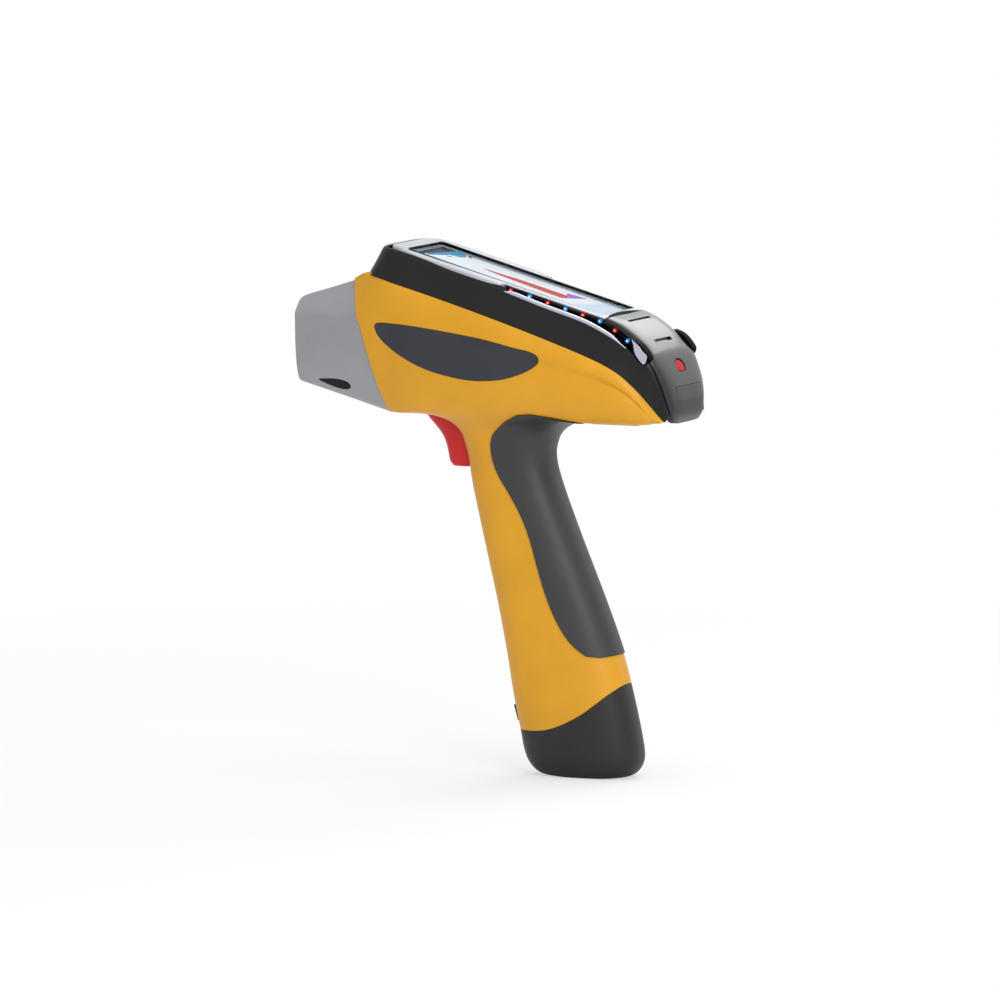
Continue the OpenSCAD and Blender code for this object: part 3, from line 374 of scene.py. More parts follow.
LIGHT_RED = glowing("light_red", "#B01812", 0.4)
LIGHT_BLUE = glowing("light_blue", "#2C7CC8", 0.5)
CORE_WARM = glowing("core_warm", "#FFB8A8", 1.0)
CORE_COOL = glowing("core_cool", "#D2ECFF", 1.0)
PAGE = glowing("page_pale", "#D2D3D6", 0.04)
PAGE_GREY = glowing("page_grey", "#BCC6D2", 0.03)
# Painted shadow of the frame's front lip on the page, also the colour of the picture's dark marks.
VISOR_SHADOW_AND_PRINT = glowing("page_visor", "#20263C", 0.0)
PICTURE_BLUE = glowing("page_photo", "#4FA6CC", 0.12, deep="#1F6E98")
BAR_RED = glowing("page_red", "#B42E28", 0.12)
VIOLET = glowing("page_violet", "#8E52AE", 0.12)
GLASS = finish("display_glass", "#F4F8FA", 0.03, tone=0.01, gloss=0.01, depth=0.0, edge=0.2)
tuned(GLASS.node_tree.nodes["Principled BSDF"], Transmission_Weight=1.0, IOR=1.03)
print(len(bpy.data.materials), "finishes")

# %% [markdown]
# ## Dressing a piece
#
# Each moulded piece ends in the same way. Folds sharper than a given angle stay crisp, and weighted
# normals keep the flats flat.

# %% Dressing a piece
def painted(mesh, material):
    mesh.materials.clear()
    mesh.materials.append(material)


def dressed(made, material, slot, *nodes, body="body", angle=32):
    """Smooth shading with crisp folds, its finish, the body it rides on and the nodes it stands for."""
    mesh = made.data
    work = bmesh.new()
    work.from_mesh(mesh)
    bmesh.ops.remove_doubles(work, verts=work.verts, dist=5e-6)
    bmesh.ops.dissolve_degenerate(work, edges=work.edges, dist=2e-6)
    work.to_mesh(mesh)
    work.free()
    mesh.shade_smooth()
    mesh.set_sharp_from_angle(angle=math.radians(angle))
    weighted = made.modifiers.new("weighted", "WEIGHTED_NORMAL")
    weighted.keep_sharp = True
    applied(made)
    painted(made.data, material)
    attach(made, body)
    if nodes:
        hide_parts(*nodes)
    print(made.name, len(made.data.polygons), "faces")
    return made


print("pieces can be dressed")

# %% [markdown]
# ## The amber clamshell
#
# The body is a row of cross-sections from the nose seam to the tail. Each goes from the flat keel, out in
# a quarter bulge to a crease at the widest line, and up to the shoulder that carries the casing. A faint
# scoop below the crease gives the fold that catches the light on the real moulding.

# %% The body's form
KEEL_Z = 219.5
HALF_W = 45
SEAM_GAP = 0.3
WALL = 2.6
BODY_ROWS = [
    [-123, 2, 24, -140, 60, 6, -143, 84, 10], [-108, 0.5, 26, -126, 59.5, 3, -132, 88.5, 6],
    [-92, 0, 27, -108, 58.5, 1, -118, 83.5, 3], [-64, 0, 28, -76, 55, 0, -84, 74, 2],
    [-32, 0, 28, -42, 48.5, 0, -48, 63, 2], [0, 0, 28, -8, 38.5, 0.5, -13, 51.5, 2],
    [24, 0, 28, 18, 31.5, 1.5, 17, 40.5, 3], [38, 0, 28, 34, 24.5, 3, 33, 32.5, 4],
    [44, 0.2, 27, 43.5, 16.5, 6, 43.5, 23, 7], [48, 0.5, 25, 49, 9.5, 9, 51, 13.5, 11],
    [50, 1, 23, 52, 4.5, 13, 56, 6, 15], [54.5, 1.3, 22, 56, 2.2, 15, 59, 2.7, 16.5],
]
SCOOP_ROWS = [1.2, 1, 0.8, 0.9, 1.3, 1.8, 2.3, 2.3, 1.6, 0.7, 0.2, 0]


def half_ring(row, inset=0.0, lift=0.0, scoop=0.0, steps=28):
    """One side of a cross-section: flat keel, bulge to the crease, short rise to the shoulder."""
    keel = np.array([row[0], row[2] - inset * 0.6, KEEL_Z + row[1] + inset])
    crease = np.array([row[3], HALF_W - row[5] - inset, KEEL_Z + row[4]])
    shoulder = np.array([row[6], HALF_W - row[8] - inset, KEEL_Z + row[7] + lift])
    v = np.linspace(0, 1, steps + 1)
    a = v * math.pi / 2
    arc = keel + (crease - keel) * np.stack([1 - np.cos(a), np.sin(a), 1 - np.cos(a)], 1)
    arc[:, 1] -= scoop * np.clip((v - 0.5) / 0.44, 0, 1) ** 2 * (1 - ease((v - 0.94) / 0.05))
    s = np.linspace(0, 1, 11)[1:, None]
    upper = crease + (shoulder - crease) * s + np.array([0, 3.2, 0]) * s * (1 - s)
    flat = keel * (1, 0, 1)
    return np.concatenate([[flat], [flat * 0.5 + keel * 0.5], arc, upper, [shoulder * (1, 0, 1)]])


def whole_ring(half):
    return np.concatenate([half, (half * (1, -1, 1))[-2:0:-1]])


def body_rows(steps):
    """The rows drawn out finely, each with the depth of its scoop."""
    scoops = smooth([[s] for s in SCOOP_ROWS], steps)
    return [(row, scoop[0]) for row, scoop in zip(smooth(BODY_ROWS, steps), scoops)]


print("body drawn from", len(BODY_ROWS), "rows")

# %% The grip's form
GRIP_ROWS = [
    [0, -24, 19, 14], [1.5, -32, 26, 18], [6, -38, 31, 21], [14, -42.3, 33.2, 22.3], [28, -45.3, 31, 22.5],
    [50, -50, 26, 22.3], [76, -54.5, 18.8, 21.8], [108, -61, 6.6, 21], [148, -70.3, -10.2, 20.5],
    [178, -77, -22, 20.5], [194, -79.5, -26.5, 21], [204, -82.5, -25.5, 22], [212, -88, -20, 24.5],
    [218, -97, -10, 29], [225, -114, 10, 34],
]
SQUARENESS = 0.8


def grip_ring(row, inset=0.0, sides=72):
    """A level section of the grip, an oval that is a little squared off."""
    middle, half = (row[1] + row[2]) / 2, (row[2] - row[1]) / 2 - inset
    a = circle(sides)
    return np.stack([middle - half * signed_power(np.cos(a), SQUARENESS),
                     (row[3] - inset) * signed_power(np.sin(a), SQUARENESS), np.full(sides, row[0])], 1)


def grip_rings(first, last, inset=0.0, steps=8):
    return [grip_ring(row, inset) for row in smooth(GRIP_ROWS[first:last], steps)]


CAP_LINE = smooth([[-80, 29], [-56, 28.5], [-40, 28], [-20, 30], [0, 39], [18, 53], [32, 65], [48, 76]], 8)
print("grip drawn from", len(GRIP_ROWS), "rows")

# %% [markdown]
# ## Body and grip as one skin
#
# On the real moulding the grip flows into the body with no edge. The two lofts are joined, and the
# corners around the joint are pulled towards the middle of their neighbours until the fold has melted
# into a soft round. A weight keeps that to the joint.

# %% Body and grip grown together
envelope = loft("envelope", [whole_ring(half_ring(row, scoop=scoop)) for row, scoop in body_rows(9)])
joined(envelope, loft("stem", grip_rings(3, 15)))
JOINT_X, JOINT_LONG, JOINT_WIDE = -53.5, 46, 31
MERGE_LEVEL, MERGE_BEFORE, MERGE_GAP = 20 * MM, 20 * MM, 0.6 * MM
RELAX_ROUNDS = 60


def relaxed(made, weight, rounds):
    """Pulls each corner towards the middle of its neighbours, by its own weight."""
    points = corners(made)
    edges = np.zeros(len(made.data.edges) * 2, int)
    made.data.edges.foreach_get("vertices", edges)
    a, b = edges.reshape(-1, 2).T
    share = weight(points)[:, None] * 0.5
    count = np.bincount(np.concatenate([a, b]), minlength=len(points))[:, None]
    for _ in range(rounds):
        total = np.zeros_like(points)
        np.add.at(total, a, points[b])
        np.add.at(total, b, points[a])
        points = points + share * (total / count - points)
    return moved(made, points)


def junction(points):
    """1 on the ring where the grip meets the keel, fading to 0 away from it."""
    r = np.hypot((points[:, 0] - JOINT_X) / JOINT_LONG, points[:, 1] / JOINT_WIDE)
    near = ease((0.62 - abs(r - 1.05)) / 0.35)
    level = ease((20 - abs(points[:, 2] - KEEL_Z - 2)) / 10)
    return near * level


work = bmesh.new()
work.from_mesh(envelope.data)
near = [v for v in work.verts if abs(v.co.z - KEEL_Z * MM) < MERGE_LEVEL and v.co.x < MERGE_BEFORE]
bmesh.ops.remove_doubles(work, verts=near, dist=MERGE_GAP)
bmesh.ops.triangulate(work, faces=[f for f in work.faces if len(f.verts) > 4])
work.to_mesh(envelope.data)
work.free()
relaxed(envelope, junction, RELAX_ROUNDS)
print("envelope:", len(envelope.data.polygons), "faces")

# %% [markdown]
# ## Housing halves, inlays and grip cover
#
# The shell is moulded in two halves. The inlays and the soft cover lie in pockets of it, so each outline
# is drawn once. It cuts the pocket, a little larger, and then the piece out of a swollen skin. That
# keeps the seams even all round.

# %% Outlines of the inlays and the grip cover
INLAY_LINE = smooth([[-127.2, 55.5], [-125.5, 51], [-120, 45.5], [-110, 38.7], [-96, 32], [-80, 27.5],
                     [-62, 25], [-44, 26], [-31, 29.6], [-23, 33.2], [-18.5, 36.6], [-17.3, 39.2]], 8)
INLAY_TOP = smooth([[-17.6, 40.9], [-19.8, 42.6], [-24.5, 44.2], [-34, 46], [-56, 50.7], [-82, 54.5],
                    [-104, 57], [-121, 58], [-126, 57.4]], 8)
COVER_EDGE = smooth([[76, 4], [84, -6], [98, -15.5], [118, -24], [147, -33], [161, -39], [174, -46.5],
                     [184, -53], [194, -57], [204, -58], [211, -55], [218, -46]], 4)
inlay_outline = [(x, KEEL_Z + z) for x, z in INLAY_LINE + INLAY_TOP]
grip_outline = [(x, z) for z, x in COVER_EDGE]
grip_outline += [(-36, 223), (-26, 224), (-12, 222), (2, 219.2), (20, 212), (60, 200), (60, 78), (22, 76.5),
                 (12, 75)]


def grown(outline, amount):
    """A closed outline moved outwards."""
    points = np.array(outline, float)
    ahead = np.roll(points, -1, 0) - points
    keep = np.hypot(*ahead.T) > 1e-6
    points, ahead = points[keep], ahead[keep]
    side = np.stack([ahead[:, 1], -ahead[:, 0]], 1) / np.hypot(*ahead.T)[:, None]
    turn = side + np.roll(side, 1, 0)
    turn /= np.hypot(*turn.T)[:, None]
    area = np.sum(points[:, 0] * np.roll(points[:, 1], -1) - np.roll(points[:, 0], -1) * points[:, 1])
    return points + turn * amount * np.sign(area)


def halved(made, side, gap=0.1):
    return common(made, slab("keep", oblong(-250, 120, -50, 400), *sorted((side * gap, side * 90))))


print("outlines of", len(inlay_outline), "and", len(grip_outline), "points")

# %% Pockets in the shell
POCKET_DEPTH = 0.7
POCKET_ROOM = 0.2
CHEEK_FROM, BEYOND = 20, 60
pocketed = copied(envelope, "pocketed")
under_inlay = swollen(envelope, "under_inlay", -POCKET_DEPTH)
for outline, span in ((inlay_outline, (-BEYOND, -CHEEK_FROM)), (inlay_outline, (CHEEK_FROM, BEYOND)),
                      (grip_outline, (-BEYOND, BEYOND))):
    pocket = slab("pocket", grown(outline, POCKET_ROOM), *span)
    cut(pocket, copied(under_inlay, "core"))
    cut(pocketed, pocket)
below = [tuple(p) for p in CAP_LINE] + [(60, -10), (-80, -10)]
cut(pocketed, slab("below", below, -BEYOND, BEYOND))
print("pocketed shell:", len(pocketed.data.polygons), "faces")

# %% The hollow, the trigger's slot and the two halves
HOLLOW_STEPS = 6
OPEN_FROM, OPEN_LIFT = 1.5, 8
hollow_rings = []
for i, (row, scoop) in enumerate(body_rows(HOLLOW_STEPS)):
    lift = -WALL if i / HOLLOW_STEPS < OPEN_FROM else OPEN_LIFT
    hollow_rings.append(half_ring(row, WALL, lift, scoop, 10))
hollow_rings = [hollow_rings[0] - (6, 0, 0)] + hollow_rings + [hollow_rings[-1] + (8, 0, -1)]
cut(pocketed, loft("hollow", [whole_ring(r) for r in hollow_rings]))
cut(pocketed, loft("bay", grip_rings(3, 15, WALL, 4)))
TRIGGER_W = 16
SLOT_WIDE = TRIGGER_W / 2 + 0.6
TAIL_HALF = 24.5
SCREWS = [[-112, KEEL_Z + 14, 31.05], [-62, KEEL_Z - 38, 15.5], [10, KEEL_Z + 12, 35.1]]
BOSS_R, WELL_R, WELL_DEEP = 4.1, 3.1, 12
slot_line = [(-111.5, KEEL_Z - 8), (-111.5, KEEL_Z + 8), (-62, KEEL_Z + 8), (-62, KEEL_Z - 33.5),
             (-100, KEEL_Z - 33.5)]
cut(pocketed, slab("slot", slot_line, -SLOT_WIDE, SLOT_WIDE),
    slab("tail_room", oblong(50.5, 70.5, 218.5, 239.5), -TAIL_HALF, TAIL_HALF))
housing_right = halved(copied(pocketed, "housing_right_shell"), 1)
for x, z, seat in SCREWS:
    joined(housing_right, tube("boss", BOSS_R, (x, 0.1, z), (x, seat, z)))
    cut(housing_right, tube("well", WELL_R, (x, seat, z), (x, seat + WELL_DEEP, z)))
dressed(housing_right, AMBER, "amber_shell", "housing_right")
housing_left = halved(pocketed, -1)
housing_left.name = "housing_left_shell"
dressed(housing_left, AMBER, "amber_shell", "housing_left")

# %% Inlays and the soft grip cover
INLAY_PROUD, GRIP_PROUD = 0.35, 0.9
inlay_skin = swollen(envelope, "inlay_skin", INLAY_PROUD)
for side, label in ((-1, "left"), (1, "right")):
    inlay = slab(f"inlay_{label}", inlay_outline, *sorted((side * CHEEK_FROM, side * BEYOND)))
    common(inlay, copied(inlay_skin, "outer"))
    cut(inlay, copied(under_inlay, "core"))
    dressed(inlay, INLAY, "dark_inlay", f"side_inlay_{label}")
cover = slab("soft_grip_cover", grip_outline, -BEYOND, BEYOND)
common(cover, swollen(envelope, "outer", GRIP_PROUD))
cut(cover, copied(under_inlay, "core"))
dressed(cover, GRIP, "soft_grip", "grip_cover")
for spare in (inlay_skin, under_inlay, envelope):
    bpy.data.objects.remove(spare)

# %% [markdown]
# ## The measuring nose
#
# The nose tapers forward from the same cross-section as the body. Its front edge is rounded by extra
# rows that draw in, and the teardrop plugs on its sides sit in openings cut through the wall.

# %% Nose
NOSE_X = -187.3
NOSE_INSET = HALF_W - 27.5
NOSE_ROWS = [
    [NOSE_X, 20.2, 17.6, NOSE_X, 60, NOSE_INSET + 2, NOSE_X, 64.5, NOSE_INSET + 6.3],
    [NOSE_X + 0.4, 19.6, 18.4, NOSE_X + 0.5, 60, NOSE_INSET + 1, NOSE_X + 1, 66.4, NOSE_INSET + 5.2],
    [NOSE_X + 1.5, 18.6, 19, NOSE_X + 1.9, 60, NOSE_INSET, NOSE_X + 3, 69.3, NOSE_INSET + 4],
    [NOSE_X + 5, 17.5, 19.3, NOSE_X + 5.4, 60, NOSE_INSET - 0.7, NOSE_X + 8, 72.2, NOSE_INSET + 3.4],
    [NOSE_X + 32, 10.4, 21, NOSE_X + 25, 60, NOSE_INSET - 5.3, NOSE_X + 25, 77.2, NOSE_INSET - 1],
    [-123.3, 1.7, 23, -140.3, 60, 7, -143.3, 83, 11.5],
]
NOSE_WALL = 2.4
nose_rows = smooth(NOSE_ROWS, 8)
nose = loft("nose_shell", [whole_ring(half_ring(row, 0, 0, 0.35)) for row in nose_rows])
inner = [half_ring(row, NOSE_WALL, -NOSE_WALL, 0) for row in nose_rows[18:]]
inner.append(inner[-1] + (inner[-1] - inner[-2]) * 2)
cut(nose, loft("inner", [whole_ring(r) for r in inner]))
AXIS_Z = KEEL_Z + 46
FACE_WIDE, FACE_HIGH = 19, 16


def face_block(name, grow, radius, start, end):
    outline = rounded(-FACE_WIDE - grow, FACE_WIDE + grow, FACE_HIGH + grow, radius)
    return loft(name, [np.array([(NOSE_X + d, y, AXIS_Z + z) for y, z in outline]) for d in (start, end)])


cut(nose, face_block("opening", 0, 5, -1, 4), face_block("step", 2, 6, 3, 8))
print("nose:", len(nose.data.polygons), "faces")

# %% Teardrop plugs
PLUG_AT = (-160, KEEL_Z + 18.6)
PLUG_LONG, PLUG_HIGH, PLUG_TAPER = 11, 2.5, 1.3
PLUG_TILT = math.radians(8)
PLUG_IN, PLUG_OUT = 22, 25


def plug_line(grow):
    """The teardrop, thick at the rear, with its point to the front."""
    a = np.radians(np.arange(0, 360, 5))
    c, s = math.cos(PLUG_TILT), math.sin(PLUG_TILT)
    swell = 1 + grow / 3
    x, z = PLUG_LONG * np.cos(a) * swell, (PLUG_HIGH + PLUG_TAPER * np.cos(a)) * np.sin(a) * swell
    return np.stack([PLUG_AT[0] + x * c + z * s, PLUG_AT[1] - x * s + z * c], 1)


for side in (-1, 1):
    cut(nose, slab("hole", plug_line(POCKET_ROOM), *sorted((side * 18, side * 40))))
dressed(nose, NOSE, "nose_grey", "nose_cap")
plugs = slab("teardrop_plugs", plug_line(0), PLUG_IN, PLUG_OUT)
joined(plugs, slab("other", plug_line(0), -PLUG_OUT, -PLUG_IN))
dressed(plugs, CASING, "casing_black", "nose_plugs")

# %% [markdown]
# ## The casing round the display
#
# A black wall stands on the amber shoulder and runs round the front of the deck. Its section is drawn as
# an open curve with rounded lips, and follows the same rows as the body. Beside the display it is cut
# down to a slot in which the lights show.

# %% Upper casing
RIM_T = 3
RIM_TOP = 38
RIM_HOLLOW = 0.35
LIP_DEEP, LIP_FROM, LIP_SPAN = 0.9, 0.93, 0.07
RIM_FRONT = [[-135, 0, 87.6, -126.5, 0, 104.7], [-135, 28, 87.6, -126.5, 25, 104.5],
             [-129.5, 40.6, 87, -121.5, 35.2, 103.8]]
RIM_TOPS = [[-107, 0, 100.7], [-76, 0, 91.7], [-44, 0, 82.7], [-8, 0, 73], [21, 0, 65], [37, 0, 53],
            [50.5, 0.5, 40.8], [56.5, 2.5, 28.5], [60.5, 6.2, 14], [62, 8.5, 6]]
RIM_ROWS = RIM_FRONT + [[row[6], HALF_W - row[8], row[7] + SEAM_GAP, top[0], RIM_TOP - top[1], top[2]]
                        for row, top in zip(BODY_ROWS[2:], RIM_TOPS)]
SLOT_LINE = smooth([[-42, 79.5], [-17, 71], [10, 62.5], [28, 54], [38, 47.5], [47, 41]], 8)


def rim_ring(t):
    """One section of the wall: slightly hollow outside, a rolled lip, and back down the inner face."""
    row = along(RIM_ROWS, t)
    turn = math.radians(45 * min(2, t))
    inward = RIM_T * np.array([math.cos(turn), -math.sin(turn), 0])
    foot = np.array([row[0], max(0, row[1]), KEEL_Z + row[2]])
    top = np.array([row[3], max(0, row[4]), KEEL_Z + row[5]])
    rise = top - foot
    points = []
    for s in np.linspace(0, 1, 13):
        lip = LIP_DEEP * (1 - math.sqrt(max(0, 1 - max(0, s - LIP_FROM) ** 2 / LIP_SPAN ** 2)))
        outward = -RIM_HOLLOW * 4 * s * (1 - s) - lip
        points.append(foot + rise * s - inward / RIM_T * outward)
    points += [top + inward * 0.6, top + inward - rise * 0.03, foot + inward]
    return np.array(points)


rim_sides = [rim_ring(i / 8) for i in range((len(RIM_ROWS) - 1) * 8 + 1)]
rim_whole = [r * (1, -1, 1) for r in rim_sides[:0:-1]] + rim_sides
casing = loft("upper_casing_shell", rim_whole)
slot_tool = [(x, KEEL_Z + z) for x, z in SLOT_LINE] + [(47, KEEL_Z + 90), (-42, KEEL_Z + 90)]
cut(casing, slab("slot", slot_tool, -BEYOND, BEYOND))
print("casing wall:", len(casing.data.polygons), "faces")

# %% The deck and the tray that carries the display
DECK_X, DECK_Z, DECK_PITCH = -119, KEEL_Z + 105.5, math.radians(16)
TRAY_TOP, TRAY_T = -15, 2.4
GUTTER_ROWS = [[14, 50.2, 37.5], [25, 45.2, 37.3], [36, 38, 37], [45, 31, 36], [51, 25.5, 34.8]]
GUTTER_IN = 25.8


def on_deck(points):
    """Deck coordinates, down the slope and up out of the display, to the object's own."""
    points = np.asarray(points, float)
    c, s = math.cos(DECK_PITCH), math.sin(DECK_PITCH)
    return np.stack([DECK_X + points[..., 0] * c + points[..., 2] * s, points[..., 1],
                     DECK_Z - points[..., 0] * s + points[..., 2] * c], -1)


def deck_plate(name, outline, low, high):
    return loft(name, [on_deck([(x, y, z) for x, y in outline]) for z in (low, high)])


joined(casing, deck_plate("tray", rounded(-4, 146, 38.5, 12), TRAY_TOP - TRAY_T, TRAY_TOP))
for side in (-1, 1):
    rings = []
    for x, z, y in smooth(GUTTER_ROWS, 6):
        corner = ((GUTTER_IN, TRAY_T), (y, TRAY_T), (y, 0), (GUTTER_IN, 0))
        rings.append(np.array([(x, side * across_by, KEEL_Z + z - down) for across_by, down in corner]))
    joined(casing, loft("gutter", rings))
dressed(casing, CASING, "casing_black", "upper_casing")

# %% [markdown]
# ## The display
#
# A silver frame with a rolled edge lies on the deck, and the glass is let into it on a black gasket. The
# edge is drawn as a few rings, each drawn in a little more than the one below. Where the frame meets the
# rear cover both are cut by one lens-shaped tool, so the gap between them is even.

# %% Display frame and glass
FRAME_FRONT = -3.9
FRAME_LINE = smooth([[146, 30.5], [80, 30.5], [78.5, 31.5], [77, 35.5], [74, 37.2], [60, 37.7], [40, 37.6],
                     [27, 37.2], [18, 36.4], [11, 35.2], [5, 33.2], [0.5, 29.8], [-2.4, 24.5], [-3.7, 15],
                     [FRAME_FRONT, 0]], 5)
FRAME_EDGE = [(-2.4, 0), (-1.3, 0), (-0.6, 0.3), (-0.15, 1), (0, 2)]
THIN_FROM, THINNED = 78, 0.5
DROOP_FROM, DROOP = 4, 0.2


def frame_ring(low, inward):
    """The outline at one depth of the rolled edge, thinner beside the lights."""
    half = [(max(x, FRAME_FRONT + inward), max(0, y - inward)) for x, y in FRAME_LINE]
    half = [(x, y, low * (THINNED if x > THIN_FROM else 1) - DROOP * max(0, DROOP_FROM - x)) for x, y in half]
    return on_deck([(x, -y, z) for x, y, z in half] + [(x, y, z) for x, y, z in reversed(half[:-1])])


RAIL_AT, RAIL_HALF = 26.5, 1.25
bezel = loft("display_frame_shell", [frame_ring(*step) for step in FRAME_EDGE])
joined(bezel, deck_plate("ledge", rounded(4, 146, 27.8, 4), -4.5, -1.1))
for side in (-1, 1):
    near, far = side * RAIL_AT - RAIL_HALF, side * RAIL_AT + RAIL_HALF
    joined(bezel, deck_plate("rail", oblong(4, 146, near, far), TRAY_TOP, -4.4))
print("frame edge drawn with", len(FRAME_EDGE), "rings")

# %% The end gap, the glass and its gasket
GAP_HALF, GAP_SWELL, GAP_FORWARD = 25, 1.9, 1.6
GAP_FRONT, GAP_REAR = 145.2, 146.4


def end_gap(name, grow, low, high):
    """The lens-shaped gap where the display frame meets the rear cover."""
    reach = np.linspace(-1, 1, 25)
    swell = (GAP_SWELL + grow) * (1 - reach ** 2)
    line = [(GAP_FRONT - w * GAP_FORWARD, y * GAP_HALF) for w, y in zip(swell, reach)]
    line += [(GAP_REAR + w, y * GAP_HALF) for w, y in zip(swell[::-1], reach[::-1])]
    return deck_plate(name, line, low, high)


cut(bezel, deck_plate("seat", rounded(8, 141.6, 27, 3), -3.2, 1), end_gap("gap", 0, -0.9, 2),
    deck_plate("window", rounded(10, 139.6, 25, 2), -20, 1),
    deck_plate("speaker", rounded(3.8, 5, 7, 0.55), -0.8, 1))
dressed(bezel, FRAME, "frame_silver", "display_frame")
pane = deck_plate("display_glass_pane", rounded(8.2, 141.4, 26.8, 2.8), -3.1, -1.9)
dressed(pane, GLASS, "glass_clear", "display_glass")
gasket = deck_plate("display_gasket", rounded(8.02, 141.58, 26.98, 2.98), -1.88, -0.05)
cut(gasket, deck_plate("inner", rounded(8.4, 141.2, 26.6, 2.7), -3, 1))
dressed(gasket, BAR, "bar_black")
dressed(end_gap("gap_shadow", -0.05, -0.88, -0.35), SHADE, "bar_black")

# %% [markdown]
# ## The lit page
#
# The picture on the display is part of the model, so it needs no image file. A pale page lies below the
# glass, and thin plates on it make a dark band and a blue picture at its head, a red swoosh with a violet
# head, and a grey field at its foot. The dark band is painted shadow of the frame's front lip; two small
# dark marks in the picture have its colour.

# %% The lit page
PLATE_LOW, PLATE_HIGH = -3.42, -3.36
page = deck_plate("display_page", rounded(9, 140.4, 26, 1.5), -5.7, -3.45)
dressed(page, PAGE, "panel_screen", "display_panel")
PLATES = [
    # This plate paints the shadow that the frame's front lip casts on the page.
    ("page_visor", VISOR_SHADOW_AND_PRINT, [(9.3, -24), (12.5, -24), (14.5, -8), (16.5, 8), (19, 25.7), (9.3, 25.7)]),
    ("page_photo", PICTURE_BLUE, [(12.7, -9.5), (16.3, -10.2), (20, 0), (21.9, 8), (24.5, 10.5), (28, 12.1),
                                  (29.5, 18.3), (26, 25.7), (19.2, 25.7), (16.6, 8)]),
    ("page_mark", VISOR_SHADOW_AND_PRINT, [(22.8, 2.4), (25.9, 3.6), (25.6, 5.4), (22.4, 4)]),
    ("page_corner", VISOR_SHADOW_AND_PRINT, [(28.8, 21.8), (31.6, 20.6), (31, 25.2), (29.5, 25.2)]),
    ("page_swoosh", BAR_RED, [(47.7, 4.3), (52, 2.2), (60.8, 0.2), (74.2, -1.2), (88, -2.6), (99, -3.4),
                              (104.6, -3.2), (106.6, 0.5), (106.2, 5), (102.4, 8.6), (95, 8.2), (82.4, 8.2),
                              (70, 7.6), (60, 5.6)]),
    ("page_head", VIOLET, [(106.8, 1), (113, 18.6), (101, 15.6), (102.6, 9.2), (106.6, 5.2)]),
    ("page_field", PAGE_GREY, [(116, -25), (139.5, -25), (139.5, 25), (126, 25), (121, 8), (117, 2)]),
]
for name, material, line in PLATES:
    plate = deck_plate(name, line, PLATE_LOW, PLATE_HIGH)
    dressed(plate, material, "panel_screen")
print(len(PLATES), "plates make the picture")

# %% [markdown]
# ## The light slots
#
# Eight lights stand in a black bar on each side, red and blue in turn. One lens is drawn once, and a
# Geometry Nodes group sets a copy on every point of a guide mesh, turned to face outwards.

# %% Light bars
BAR_ROWS = [[-44, 83.2], [-23, 77.5], [-2, 71.4], [18.5, 65.2], [35, 54.8], [45, 43.5]]
SLOT_HALF = 30.5
LIGHTS = 8
FIRST_LIGHT, LIGHT_SPAN, LIGHT_DOWN = 0.2, 3.85, 2.7
BAR_SECTION = [(28, 9), (30.2, 9), (30.5, 8.7), (30.5, 0.3), (30.2, 0), (28, 0)]


def light_place(k):
    x, z = along(BAR_ROWS, FIRST_LIGHT + LIGHT_SPAN * k / (LIGHTS - 1))
    return x, KEEL_Z + z - LIGHT_DOWN


for side, label in ((-1, "left"), (1, "right")):
    rings = []
    for t in np.linspace(0, 4.4, 40):
        x, z = along(BAR_ROWS, t)
        top = KEEL_Z + z - 1.6
        rings.append(np.array([(x, side * y, top - down) for y, down in BAR_SECTION]))
    bar = loft(f"light_bar_{label}_shell", rings)
    cut(bar, *[tube("hole", 1.55, (x, side * 28.5, z), (x, side * 33, z))
               for x, z in map(light_place, range(LIGHTS))])
    dressed(bar, BAR, "bar_black", f"light_bar_{label}")


# %% Copies on points
def spread(name, template, places):
    """One copy of the template on each place (x, y, z and turn about x, y, z), by Geometry Nodes."""
    guide = bpy.data.meshes.new(name)
    guide.from_pydata([tuple(v * MM for v in p[:3]) for p in places], [], [])
    turns = guide.attributes.new("turn", "FLOAT_VECTOR", "POINT")
    turns.data.foreach_set("vector", np.array([p[3:] for p in places], float).ravel())
    made = placed(name, guide)
    group = bpy.data.node_groups.new(name + "_copies", "GeometryNodeTree")
    face = group.interface
    face.new_socket("Geometry", in_out="INPUT", socket_type="NodeSocketGeometry")
    wanted = face.new_socket("Template", in_out="INPUT", socket_type="NodeSocketObject")
    face.new_socket("Geometry", in_out="OUTPUT", socket_type="NodeSocketGeometry")
    given, result, shape, turn, put, real = map(group.nodes.new, (
        "NodeGroupInput", "NodeGroupOutput", "GeometryNodeObjectInfo", "GeometryNodeInputNamedAttribute",
        "GeometryNodeInstanceOnPoints", "GeometryNodeRealizeInstances"))
    turn.data_type = "FLOAT_VECTOR"
    turn.inputs["Name"].default_value = "turn"
    wire(given, "Template", shape, "Object")
    wire(given, "Geometry", put, "Points")
    wire(shape, "Geometry", put, "Instance")
    wire(turn, "Attribute", put, "Rotation")
    wire(put, "Instances", real, "Geometry")
    wire(real, "Geometry", result, "Geometry")
    step = made.modifiers.new("copies", "NODES")
    step.node_group = group
    step[wanted.identifier] = template
    applied(made)
    bpy.data.objects.remove(template)
    return made


def turned(name, profile, sides=32):
    """A solid of revolution about Z from rings of (radius, height)."""
    a = circle(sides)
    return loft(name, [np.stack([r * np.cos(a), r * np.sin(a), np.full(sides, z)], 1) for r, z in profile])


print("copies are ready")

